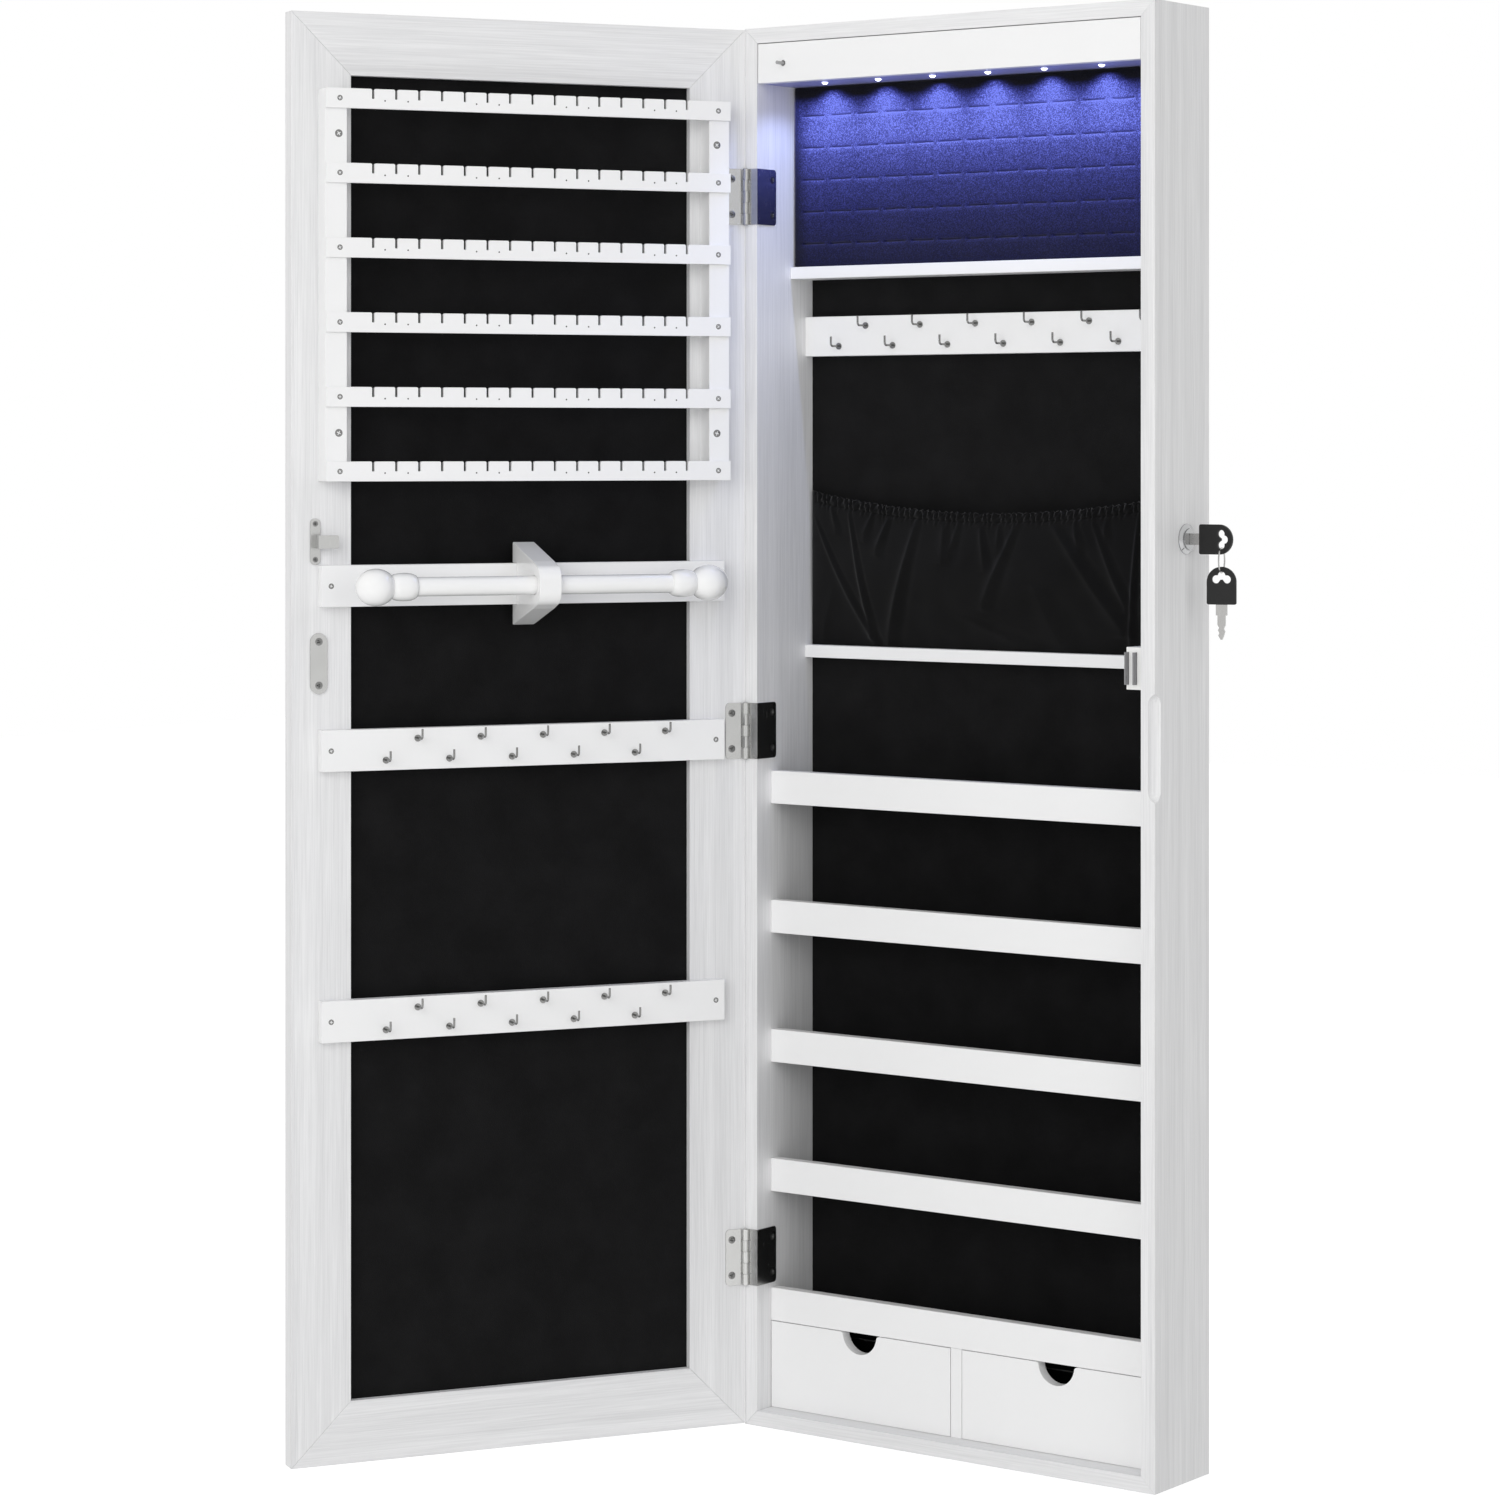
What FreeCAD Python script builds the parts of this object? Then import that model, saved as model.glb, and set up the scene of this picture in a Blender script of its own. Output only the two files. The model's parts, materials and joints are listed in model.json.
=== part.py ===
"""Wall-hung jewellery cabinet with a mirror door, shown with the door open.

X runs to the right seen from the front, Y towards the wall and Z up. The origin is the
centre of the underside of the case. All sizes are millimetres and all angles degrees.
The door and what it carries are drawn closed, then swung open about the hinge pins.
"""
import FreeCAD, Part
import math
import os

os.makedirs("parts", exist_ok=True)
V = FreeCAD.Vector
AXIS_X, AXIS_Y, AXIS_Z = V(1, 0, 0), V(0, 1, 0), V(0, 0, 1)

# ---- case -------------------------------------------------------------------------------
case_width = 375.0
case_height = 1100.0
case_depth = 79.0
board_t = 12.0                # the four boards of the case, mitred at the corners
back_board_t = 3.0
back_rebate = 6.0             # how far the back board is let into the case boards
lining_t = 1.0                # velvet on the back board
joint_play = 0.5              # play round a drawer, a panel in its groove, a plate in its pocket
soft_play = 0.3               # space left round a soft piece

half_width = case_width / 2
x_wall = half_width - board_t               # inner face of the right side board
y_front = -case_depth / 2
y_back = case_depth / 2
y_board = y_back - back_board_t             # front face of the back board
y_lining = y_board - lining_t               # front face of the velvet
z_ceiling = case_height - board_t

# ---- shelves and drawers ----------------------------------------------------------------
drawer_bay_h = 68.4
rail_set_back = 18.6          # from the front of the case to the face of the rails
rail_t = 9.0
rail_h = 26.0
shelf_t = 6.0
shelf_count = 4               # open shelves above the drawer deck
divider_t = 10.0
drawer_side_t = 4.0
drawer_base_t = 3.0
drawer_side_h = 50.0
drawer_lift = 0.3             # the drawer runs on the bottom board with this play
drawer_lining_t = 1.0
notch_r = 16.0                # half-round finger notch in the drawer front
notch_shoulder_r = 2.5

y_rail = y_front + rail_set_back
y_shelf = y_rail + rail_t
z_deck = board_t + drawer_bay_h

# ---- velvet pocket ----------------------------------------------------------------------
batten_t = 10.0
batten_h = 10.0
pocket_gap_h = 113.7          # underside of the batten above the underside of the top shelf
pocket_h = 124.5
pocket_sag = 17.0             # the elastic top hangs this much lower in the middle
pocket_mouth = 12.0           # how far the elastic top stands off the velvet
pocket_cloth_t = 1.2
pocket_folds = 14
pocket_fold_depth = 2.4

# ---- light box, ring cushion and necklace board -----------------------------------------
fascia_h = 31.5
fascia_t = 9.0
fascia_set_back = 0.5
light_floor_t = 3.0
led_count = 6
led_pitch = 50.8
led_set_back = 24.0
led_r = 2.5
led_drop = 1.6                # how far a lens shows under the light box
led_strip_w = 10.0
led_strip_t = 1.5
cell_r = 7.25                 # four AA cells in an open holder
cell_len = 50.5
holder_wall = 1.5
switch_from_wall = 24.7
switch_up = 14.8              # switch axis above the underside of the fascia
plunger_r = 1.35
plunger_out = 8.5             # how far the plunger stands out of the fascia with the door open
plunger_len = 26.0
switch_hole_r = 2.25
switch_size = 12.0
run_play = 0.05               # radial play of a shaft in its bore
cushion_h = 143.0
cushion_t = 27.2
cushion_edge_r = 4.0
slit_rows, slit_cols = 5, 13
slit_len, slit_w, slit_depth = 19.6, 1.4, 7.0
slit_pitch_x, slit_pitch_z = 26.0, 25.4
slit_first = 18.5             # lowest row above the ring shelf
ring_shelf_t = 9.5
ring_shelf_depth = 30.1
hook_board_t = 10.0
hook_board_h = 31.5
hook_board_drop = 29.7        # top of the necklace board under the ring shelf
hook_count = 12
hook_pitch = 25.9
hook_row_rise = 8.0           # the two staggered rows lie this far above and below the middle
hook_wire_r = 0.75
hook_reach = 9.0
hook_rise = 5.5
hook_bend_r = 1.8
hook_disc_r, hook_disc_t = 2.6, 0.8

z_light = z_ceiling - fascia_h
z_ring_shelf = z_light - cushion_h          # top face of the ring shelf
y_fascia = y_front + fascia_set_back
y_led = y_front + led_set_back
z_strip = z_light + light_floor_t
z_necklace = z_ring_shelf - ring_shelf_t - hook_board_drop - hook_board_h / 2
x_switch = -x_wall + switch_from_wall
z_switch = z_light + switch_up

# ---- wall fixing ------------------------------------------------------------------------
wall_rail_t = 10.5
hanger_span = 260.0           # between the two keyholes
hanger_w, hanger_h, hanger_t = 44.0, 20.0, 1.5
keyhole_r = 4.5
keyhole_slot_w = 4.2
keyhole_rise = 8.0
hanger_screw_span = 32.0
keyhole_pocket_depth = 8.0

z_hanger = (z_strip + z_ceiling) / 2
z_keyhole = z_hanger - hanger_h / 2 + 7.0

# ---- door -------------------------------------------------------------------------------
door_gap = 5.6                # between the case and the closed door
door_t = 15.0
pin_inset = 2.8               # pin axis in from the side of the case
edge_past_pin = 0.8           # hinge edge of the door beyond the pin axis
door_free_inset = 0.5
door_end_inset = 1.0
frame_w = 47.3
panel_recess = 6.5            # from the inner face of the frame to the velvet panel
door_panel_t = 3.5            # hardboard covered with velvet
mirror_t = 3.0
groove_play = 0.2
groove_depth = 8.0
door_open = 120.0

x_pin = -half_width + pin_inset
y_pin = y_front - door_gap / 2
y_door = y_front - door_gap                 # inner face of the closed door
x_door_hinge = x_pin - edge_past_pin
x_door_free = half_width - door_free_inset
x_door_mid = (x_door_hinge + x_door_free) / 2
z_door_low = door_end_inset
z_door_high = case_height - door_end_inset

# ---- earring frame and bracelet bar -----------------------------------------------------
fitting_gap = 4.45            # between a hinge leaf and the boards and bars that cross the door
fitting_t = 9.0
earring_drop = 58.7           # top of the earring frame below the top of the door
earring_bars = 6
earring_pitch = 56.15
bar_h, bar_t = 15.0, 3.0
stand_w, stand_t = 17.0, 18.0
slot_count = 15
slot_pitch = 18.3
slot_w, slot_depth = 2.0, 7.5
bracelet_drop = 79.0          # bracelet board below the earring frame
bracket_w = 18.0
bracket_half_h = 32.0
bracket_reach = 60.0
bracket_neck = 45.0           # where the bracket's slopes end
bracket_neck_half_h = 18.0
bracket_nose_r = 12.0
bracket_edge_r = 4.0
rod_reach = 47.0
rod_r = 7.25
rod_len = 270.0               # between the centres of the two end balls
ball_r, ball_half_len = 14.0, 15.5
collar_r, collar_len = 10.75, 20.0
hook_board_gap = 124.25       # upper door hook board below the bracelet board, middle to middle
board_rise = 26.5             # middle of a door hook board above the top of a shelf rail
door_hook_count = 10
door_hook_pitch = 25.4
board_screw_in = 7.5          # screws of the boards from their ends
stand_screw_in = 10.5         # screws of the earring frame from its ends
stand_screw_low = 36.5
stand_screw_high = 34.0

z_earring = z_door_high - earring_drop - bar_h - (earring_bars - 1) * earring_pitch
z_earring_top = z_earring + (earring_bars - 1) * earring_pitch + bar_h
z_bracelet = z_earring - bracelet_drop
z_top_board = z_bracelet - hook_board_gap
shelf_pitch = (z_top_board - board_rise - rail_h - z_deck) / shelf_count
shelf_levels = [z_deck + k * shelf_pitch for k in range(shelf_count + 1)]
door_hook_levels = [shelf_levels[k] + rail_h + board_rise for k in (2, 4)]
z_batten = shelf_levels[-1] + pocket_gap_h
z_pocket = z_batten + batten_h

# ---- hinges -----------------------------------------------------------------------------
hinge_end = 132.5             # centre of the top hinge from the top
hinge_rise_low = 26.1         # lowest hinge above the lowest rail, and middle hinge above the highest
hinge_rise_mid = 32.2
leaf_h = 44.0
leaf_t = 1.1
leaf_w = 16.0
flange_depth = 24.0
leaf_corner_r = 3.0
knuckle_count = 5
knuckle_r = 2.5
knuckle_play = 0.2
pin_r = 1.25
pin_head_r, pin_head_t = 1.9, 0.7
leaf_screw_span = 28.0
leaf_screw_edge = 5.0
screw_head_r = 2.9
screw_head_t = 1.0
screw_r = 1.3
screw_len = 8.0
small_head_r = 2.1

hinge_levels = [shelf_levels[0] + rail_h + hinge_rise_low, shelf_levels[-1] + rail_h + hinge_rise_mid,
                case_height - hinge_end]
x_fit_low = x_pin + leaf_w + fitting_gap
x_fit_high = 2 * x_door_mid - x_fit_low

# ---- lock, keys and catch ---------------------------------------------------------------
lock_rise = 36.45             # lock axis above the middle of the bracelet board
lock_set_back = 44.9
bezel_r, bezel_t = 11.4, 2.8
barrel_r = 9.5
barrel_in = 12.5              # how far the barrel stands into the case
plug_r = 7.75
plug_proud = 0.7
nut_r, nut_t = 12.5, 3.5
cam_t = 2.0
cam_hub_r = 8.0
cam_arm_low, cam_arm_high = 3.2, 10.0
cam_hook_drop = 5.0
cam_hook_w = 7.3
cam_play = 0.6
tail_side = 7.0
cam_screw_r, cam_screw_t = 3.6, 1.6
key_t, key_head_t = 2.0, 2.8
key_head_len, key_head_w = 28.0, 22.3
key_lobe_r = 3.0
key_lobe_side = 4.1
key_lobe_mid, key_lobe_low = 6.6, 9.3       # lobe centres from the round end of the head
shoulder_w, shoulder_len = 8.5, 8.0
blade_w, blade_len = 6.0, 18.0
keyway_play = 0.2
ring_r, ring_wire_r = 9.2, 0.6
ring_steps = 24
ring_turn = 16.0              # the ring hangs turned this much from the line through the hole
ring_play = 0.3
strike_h, strike_w, strike_t = 35.0, 8.0, 1.2
strike_from_edge = 14.7       # outer edge of the lock strike from the free edge of the door
tab_h, tab_len, tab_stand = 10.0, 16.0, 11.4
tab_below_lock = 3.0
catch_rise = 3.6              # catch above the middle of the space between the two boards
catch_w, catch_d, catch_h = 13.0, 18.0, 31.5
catch_flange_t, catch_flange_h = 3.0, 46.0
catch_flange_d = 12.0
catch_set_back = 1.0
blade_gap, catch_blade_t, catch_blade_h = 6.0, 1.0, 24.0
catch_tongue = 6.0
catch_blade_play = 0.3        # between the steel blades and the plate on the closed door
plate_w, plate_h, plate_t = 13.5, 46.0, 1.5
plate_from_edge = 14.7
scoop_drop = 58.5             # middle of the finger scoop below the catch
scoop_h = 81.0
scoop_r = 9.0
scoop_out = 3.0               # the axis of the scoop lies this far outside the case

lock_z = z_bracelet + lock_rise
catch_z = (z_bracelet + z_top_board) / 2 + catch_rise
scoop_z = catch_z - scoop_drop
y_lock = y_front + lock_set_back
x_plug_face = half_width + bezel_t + plug_proud
x_barrel_end = x_wall - barrel_in
z_tab = lock_z - tab_below_lock


# ---- helpers ----------------------------------------------------------------------------
def box(x0, x1, y0, y1, z0, z1):
    """A block between two corners."""
    return Part.makeBox(x1 - x0, y1 - y0, z1 - z0, V(x0, y0, z0))


def fuse(first, *others):
    """One solid made of pieces that overlap or touch."""
    return first.multiFuse(list(others)).removeSplitter().Solids[0]


def outline(corners, place):
    """A closed wire through (a, b, radius) corners; place turns (a, b) into a point."""
    legs = []
    for k, (a, b, radius) in enumerate(corners):
        corner = FreeCAD.Vector(a, b, 0)
        before = V(*corners[k - 1][:2], 0) - corner
        after = V(*corners[(k + 1) % len(corners)][:2], 0) - corner
        before.normalize()
        after.normalize()
        if radius == 0:
            legs.append((corner, None, corner))
            continue
        half_angle = before.getAngle(after) / 2
        tangent = radius / math.tan(half_angle)
        middle = before + after
        middle.normalize()
        middle = corner + middle * (radius / math.sin(half_angle) - radius)
        legs.append((corner + before * tangent, middle, corner + after * tangent))
    edges = []
    for k, (start, middle, end) in enumerate(legs):
        last_end = legs[k - 1][2]
        if last_end.distanceToPoint(start) > 1e-4:
            edges.append(Part.LineSegment(place(last_end), place(start)).toShape())
        if middle is not None:
            edges.append(Part.Arc(place(start), place(middle), place(end)).toShape())
    return Part.Wire(edges)


def plate(corners, place, push):
    """A flat piece: the outline of the corners pushed along a vector."""
    return Part.Face(outline(corners, place)).extrude(push)


def on_xz(y):
    """Outline points (x, z) on the plane at y."""
    return lambda p: V(p.x, y, p.y)


def on_yz(x):
    """Outline points (y, z) on the plane at x."""
    return lambda p: V(x, p.x, p.y)


def turned(profile, origin, axis):
    """A turned piece: (along, radius) points spun round an axis through origin."""
    side = axis.cross(AXIS_Z) if abs(axis.z) < 0.9 else axis.cross(AXIS_X)
    side.normalize()
    points = [origin + axis * along + side * radius for along, radius in profile]
    wire = Part.makePolygon(points + points[:1])
    return Part.Face(wire).revolve(origin, axis, 360)


def cylinder(origin, axis, radius, length):
    """A round bar from origin along axis."""
    return Part.makeCylinder(radius, length, origin, axis)


def skin(rings, closed=False):
    """A solid with flat faces through rings of points; closed joins the last ring to the first."""
    pairs, faces = list(zip(rings, rings[1:])), []
    if closed:
        pairs.append((rings[-1], rings[0]))
    else:
        faces = [Part.Face(Part.makePolygon(ring + ring[:1])) for ring in (rings[0], rings[-1])]
    for low, high in pairs:
        for k in range(len(low)):
            a, b, c, d = low[k - 1], low[k], high[k], high[k - 1]
            flat = abs((b - a).cross(c - a).dot(d - a)) < 1e-6
            corners = [[a, b, c, d]] if flat else [[a, b, c], [a, c, d]]
            faces += [Part.Face(Part.makePolygon(points + points[:1])) for points in corners]
    solid = Part.makeSolid(Part.makeShell(faces))
    if solid.Volume < 0:
        solid.reverse()
    return solid


def faceted(stations, origin, axis, sides=8):
    """A small turned piece with flat sides, through (along, radius) stations."""
    first = axis.cross(AXIS_Z) if abs(axis.z) < 0.9 else axis.cross(AXIS_X)
    first.normalize()
    second = axis.cross(first)
    rings = []
    for along, radius in stations:
        rings.append([])
        for k in range(sides):
            turn = 2 * math.pi * k / sides
            across = first * math.cos(turn) + second * math.sin(turn)
            rings[-1].append(origin + axis * along + across * radius)
    return skin(rings)


def bore(origin, axis, radius, length, sides=12):
    """A many-sided cutter with room inside for a round bar of this radius."""
    reach = radius / math.cos(math.pi / sides)
    return faceted([(0, reach), (length, reach)], origin, axis, sides)


def screw(point, axis, head_r=screw_head_r, length=screw_len):
    """A countersunk screw: point is the middle of the head's face, axis points into the wood."""
    return faceted([(0, head_r), (screw_head_t, screw_r), (length, screw_r)], point, axis, 6)


def save(name, *solids):
    """Write one piece of the case or of what hangs on it."""
    shape = solids[0] if len(solids) == 1 else Part.makeCompound(list(solids))
    shape.exportStep("parts/" + name + ".step")
    print(name, len(shape.Solids), round(shape.Volume / 1000, 2), "cm3", shape.isValid())


def save_on_door(name, *solids):
    """Write one piece of the door, swung open from its closed place."""
    opened = []
    for solid in solids:
        opened.append(solid.copy().rotate(V(x_pin, y_pin, 0), AXIS_Z, -door_open))
    save(name, *opened)


# ---- case boards ------------------------------------------------------------------------
def case_board(corners):
    """One mitred board of the case, rebated at the back for the back board."""
    blank = plate([(x, z, 0) for x, z in corners], on_xz(y_front), V(0, case_depth, 0))
    reach, low, high = x_wall + back_rebate, board_t - back_rebate, z_ceiling + back_rebate
    return blank.cut(box(-reach, reach, y_board, y_back, low, high))


def finger_scoop():
    """The rounded hollow cut from the outer front edge of the right board."""
    x, half = half_width + scoop_out, scoop_h / 2 - scoop_r
    ends = [Part.makeSphere(scoop_r, V(x, y_front, scoop_z + side * half)) for side in (-1, 1)]
    middle = cylinder(V(x, y_front, scoop_z - half), AXIS_Z, scoop_r, 2 * half)
    return fuse(middle, *ends)


def make_case():
    """The four mitred boards, the back board with its hanger openings and the velvet."""
    outer = [(-half_width, 0), (-half_width, case_height), (half_width, case_height), (half_width, 0)]
    inner = [(-x_wall, board_t), (-x_wall, z_ceiling), (x_wall, z_ceiling), (x_wall, board_t)]
    names = ["side_panel_left", "top_panel", "side_panel_right", "bottom_panel"]
    for k, name in enumerate(names):
        n = (k + 1) % 4
        board = case_board([outer[k], outer[n], inner[n], inner[k]])
        if name == "side_panel_right":
            hole = cylinder(V(x_wall - 1, y_lock, lock_z), AXIS_X, barrel_r, board_t + 2)
            board = board.cut(hole).cut(finger_scoop())
        save(name, board)
    reach = x_wall + back_rebate - joint_play / 2
    low, high = board_t - back_rebate + joint_play / 2, z_ceiling + back_rebate - joint_play / 2
    back = box(-reach, reach, y_board, y_back, low, high)
    for x in hanger_places():
        half_w, half_h = (hanger_w + joint_play) / 2, (hanger_h + joint_play) / 2
        back = back.cut(box(x - half_w, x + half_w, y_board - 1, y_back + 1,
                            z_hanger - half_h, z_hanger + half_h))
    save("back_board", back)
    save("back_lining", box(-x_wall, x_wall, y_lining, y_board, board_t, z_strip))


# ---- wall fixing ------------------------------------------------------------------------
def hanger_places():
    """X of the two keyholes."""
    return [-hanger_span / 2, hanger_span / 2]


def keyhole(x, y, depth):
    """The keyhole cut: a round entry with a narrow slot above it."""
    entry = cylinder(V(x, y, z_keyhole), AXIS_Y, keyhole_r, depth)
    slot = box(x - keyhole_slot_w / 2, x + keyhole_slot_w / 2, y, y + depth,
               z_keyhole, z_keyhole + keyhole_rise)
    top = cylinder(V(x, y, z_keyhole + keyhole_rise), AXIS_Y, keyhole_slot_w / 2, depth)
    return fuse(entry, slot, top)


def hanger_screws():
    """Two countersunk screws for each hanger plate."""
    places = [x + side * hanger_screw_span / 2 for x in hanger_places() for side in (-1, 1)]
    return [screw(V(x, y_board + hanger_t, z_hanger), V(0, -1, 0)) for x in places]


def make_wall_fixing():
    """The rail behind the light box and the two keyhole plates let into the back."""
    rail = box(-x_wall, x_wall, y_board - wall_rail_t, y_board, z_strip, z_ceiling)
    plates = []
    for x in hanger_places():
        pocket = box(x - keyhole_r - 2, x + keyhole_r + 2, y_board - keyhole_pocket_depth, y_board + 1,
                     z_keyhole - keyhole_r - 1, z_keyhole + keyhole_rise + keyhole_r)
        rail = rail.cut(pocket)
        half_w, half_h = hanger_w / 2, hanger_h / 2
        corners = [(x - half_w, z_hanger - half_h, 3), (x + half_w, z_hanger - half_h, 3),
                   (x + half_w, z_hanger + half_h, 3), (x - half_w, z_hanger + half_h, 3)]
        blank = plate(corners, on_xz(y_board), V(0, hanger_t, 0))
        plates.append(blank.cut(keyhole(x, y_board - 1, hanger_t + 2)))
    plates = [p.cut(Part.makeCompound(hanger_screws())) for p in plates]
    save("hanging_rail", rail)
    save("keyhole_hangers", *plates)


# ---- light box --------------------------------------------------------------------------
def led_places():
    """X of the six lights."""
    return [(k - (led_count - 1) / 2) * led_pitch for k in range(led_count)]


def make_light_box():
    """Fascia, floor, lights, battery holder and the door switch."""
    fascia = box(-x_wall, x_wall, y_fascia, y_fascia + fascia_t, z_light, z_ceiling)
    hole = cylinder(V(x_switch, y_fascia - 1, z_switch), AXIS_Y, switch_hole_r, fascia_t + 2)
    save("light_fascia", fascia.cut(hole))
    floor = box(-x_wall, x_wall, y_fascia + fascia_t, y_lining, z_light, z_strip)
    lenses = []
    for x in led_places():
        floor = floor.cut(bore(V(x, y_led, z_light - 1), AXIS_Z, led_r, light_floor_t + 2))
        dome = [(0, led_r), (light_floor_t, led_r), (light_floor_t + led_drop * 0.6, led_r * 0.8),
                (light_floor_t + led_drop, led_r * 0.3)]
        lenses.append(faceted(dome, V(x, y_led, z_strip), V(0, 0, -1), 12))
    save("light_box_floor", floor)
    save("led_lenses", *lenses)
    half = led_pitch * led_count / 2
    save("led_board", box(-half, half, y_led - led_strip_w / 2, y_led + led_strip_w / 2,
                          z_strip, z_strip + led_strip_t))
    make_battery_pack()
    y_switch = y_fascia + fascia_t
    half = switch_size / 2
    body = box(x_switch - half, x_switch + half, y_switch, y_switch + switch_size,
               z_switch - half, z_switch + half)
    hole = bore(V(x_switch, y_switch - 1, z_switch), AXIS_Y, plunger_r + run_play, switch_size + 2)
    save("switch_body", body.cut(hole))
    tip = y_fascia - plunger_out
    profile = [(0, 0), (0, plunger_r * 0.6), (plunger_r * 0.4, plunger_r), (plunger_len, plunger_r),
               (plunger_len, 0)]
    save("switch_plunger", turned(profile, V(x_switch, tip, z_switch), AXIS_Y))


def make_battery_pack():
    """An open holder with four cells, two long and two wide, on the floor of the light box."""
    inner_x, inner_y = cell_len + holder_wall / 2, 2 * cell_r + 0.2
    y_mid = y_board - wall_rail_t - 3.0 - inner_y - holder_wall
    z_cell = z_strip + holder_wall + cell_r + 0.1
    outer = box(-inner_x - holder_wall, inner_x + holder_wall, y_mid - inner_y - holder_wall,
                y_mid + inner_y + holder_wall, z_strip, z_cell + cell_r * 0.4)
    for side in (-1, 1):
        middle = side * (inner_x + holder_wall / 2) / 2
        half = inner_x / 2 - holder_wall / 4
        outer = outer.cut(box(middle - half, middle + half, y_mid - inner_y, y_mid + inner_y,
                              z_strip + holder_wall, z_cell + cell_r))
    cells = []
    for side in (-1, 1):
        middle = side * (inner_x + holder_wall / 2) / 2
        for row in (-1, 1):
            start = V(middle - cell_len / 2 + 0.2, y_mid + row * (cell_r + 0.1), z_cell)
            cells.append(faceted([(0, cell_r), (cell_len - 0.4, cell_r)], start, AXIS_X, 16))
    save("battery_pack", outer, *cells)


# ---- ring cushion and necklace hooks ----------------------------------------------------
def make_ring_box():
    """The slit cushion for rings and the shelf that carries it."""
    y_face = y_lining - cushion_t
    reach, top = x_wall - soft_play, z_light - soft_play
    blank = box(-reach, reach, y_face, y_lining, z_ring_shelf, top)
    long_edges = [e for e in blank.Edges if abs(e.CenterOfMass.y - y_face) < 0.01 and e.Length > cushion_h * 2]
    cushion = blank.makeFillet(cushion_edge_r, long_edges)
    slits = []
    for row in range(slit_rows):
        z = z_ring_shelf + slit_first + row * slit_pitch_z
        for col in range(slit_cols):
            x = (col - (slit_cols - 1) / 2) * slit_pitch_x
            mouth = [V(x - slit_len / 2, y_face - 0.1, z + slit_w / 2),
                     V(x - slit_len / 2, y_face - 0.1, z - slit_w / 2),
                     V(x - slit_len / 2, y_face + slit_depth, z)]
            wedge = Part.Face(Part.makePolygon(mouth + mouth[:1]))
            slits.append(wedge.extrude(V(slit_len, 0, 0)))
    save("ring_cushion", cushion.cut(Part.makeCompound(slits)))
    y_edge = y_lining - ring_shelf_depth
    save("ring_shelf", box(-x_wall, x_wall, y_edge, y_lining, z_ring_shelf - ring_shelf_t, z_ring_shelf))


def hook(x, y, z, out):
    """An upturned wire hook on a round base; out is +1 or -1 along Y."""
    away = V(0, out, 0)
    base = faceted([(0, hook_disc_r), (hook_disc_t, hook_disc_r * 0.9)], V(x, y, z), away)
    turns = [(0, 0, 0), (hook_reach - hook_bend_r, 0, 22.5), (hook_reach, hook_bend_r, 67.5),
             (hook_reach, hook_rise, 90)]
    rings = []
    for forward, up, tilt in turns:
        lean = math.radians(tilt)
        stretch = 1 / math.cos(math.radians(22.5)) if 0 < tilt < 90 else 1
        high = V(0, -out * math.sin(lean), math.cos(lean)) * stretch
        ring = []
        for k in range(5):
            turn = 2 * math.pi * k / 5
            ring.append(V(x, y + out * forward, z + up)
                        + (AXIS_X * math.cos(turn) + high * math.sin(turn)) * hook_wire_r)
        rings.append(ring)
    return fuse(base, skin(rings))


def staggered(count, pitch, middle_x, middle_z, first_up):
    """Places (x, z) of a staggered double row of hooks."""
    rows = []
    for k in range(count):
        up = 1 if (k % 2 == 0) == first_up else -1
        rows.append((middle_x + (k - (count - 1) / 2) * pitch, middle_z + up * hook_row_rise))
    return rows


def make_necklace_hooks():
    """The board with two staggered rows of hooks under the ring shelf."""
    y_face = y_lining - hook_board_t
    low = z_necklace - hook_board_h / 2
    save("necklace_hook_board", box(-x_wall, x_wall, y_face, y_lining, low, low + hook_board_h))
    places = staggered(hook_count, hook_pitch, 0, z_necklace, False)
    save("necklace_hooks", *[hook(x, y_face, z, -1) for x, z in places])


# ---- velvet pocket ----------------------------------------------------------------------
def pocket_section(x, fold):
    """One cut through the pocket cloth at x: the cloth from the batten up to its ruffled top."""
    share = 1 - (x / (x_wall - soft_play)) ** 2
    top = z_pocket + pocket_h - pocket_sag * share
    inner, outer = [], []
    for up, stand, crease in ((0, 0, 0.1), (0.3, 0.5, 1), (0.62, 0.8, 0.7), (0.93, 0.85, 0.2), (1, 1, 0.6)):
        z = z_pocket + soft_play + up * (top - z_pocket - soft_play)
        y = y_lining - soft_play - pocket_mouth * stand * share ** 0.5
        y -= fold * crease * pocket_fold_depth * share ** 0.5
        inner.append(V(x, y, z))
        outer.append(V(x, y - pocket_cloth_t, z))
    return inner + outer[::-1]


def make_pocket():
    """The gathered velvet pocket and the batten along its foot."""
    reach = x_wall - soft_play
    sections = []
    for k in range(2 * pocket_folds + 1):
        x = -reach + k * reach / pocket_folds
        sections.append(pocket_section(x, k % 2))
    save("pocket_cloth", skin(sections))
    y_face = y_lining - batten_t
    save("pocket_batten", box(-x_wall, x_wall, y_face, y_lining, z_batten, z_pocket))


# ---- shelves and drawers ----------------------------------------------------------------
def make_shelves():
    """The shelf boards, the rails in front of them and the divider between the drawers."""
    boards = [box(-x_wall, x_wall, y_shelf, y_lining, z, z + shelf_t) for z in shelf_levels]
    rails = [box(-x_wall, x_wall, y_rail, y_shelf, z, z + rail_h) for z in shelf_levels]
    save("shelf_boards", *boards)
    save("shelf_rails", *rails)
    half = divider_t / 2
    save("drawer_divider", box(-half, half, y_rail, y_lining, board_t, z_deck))


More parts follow.
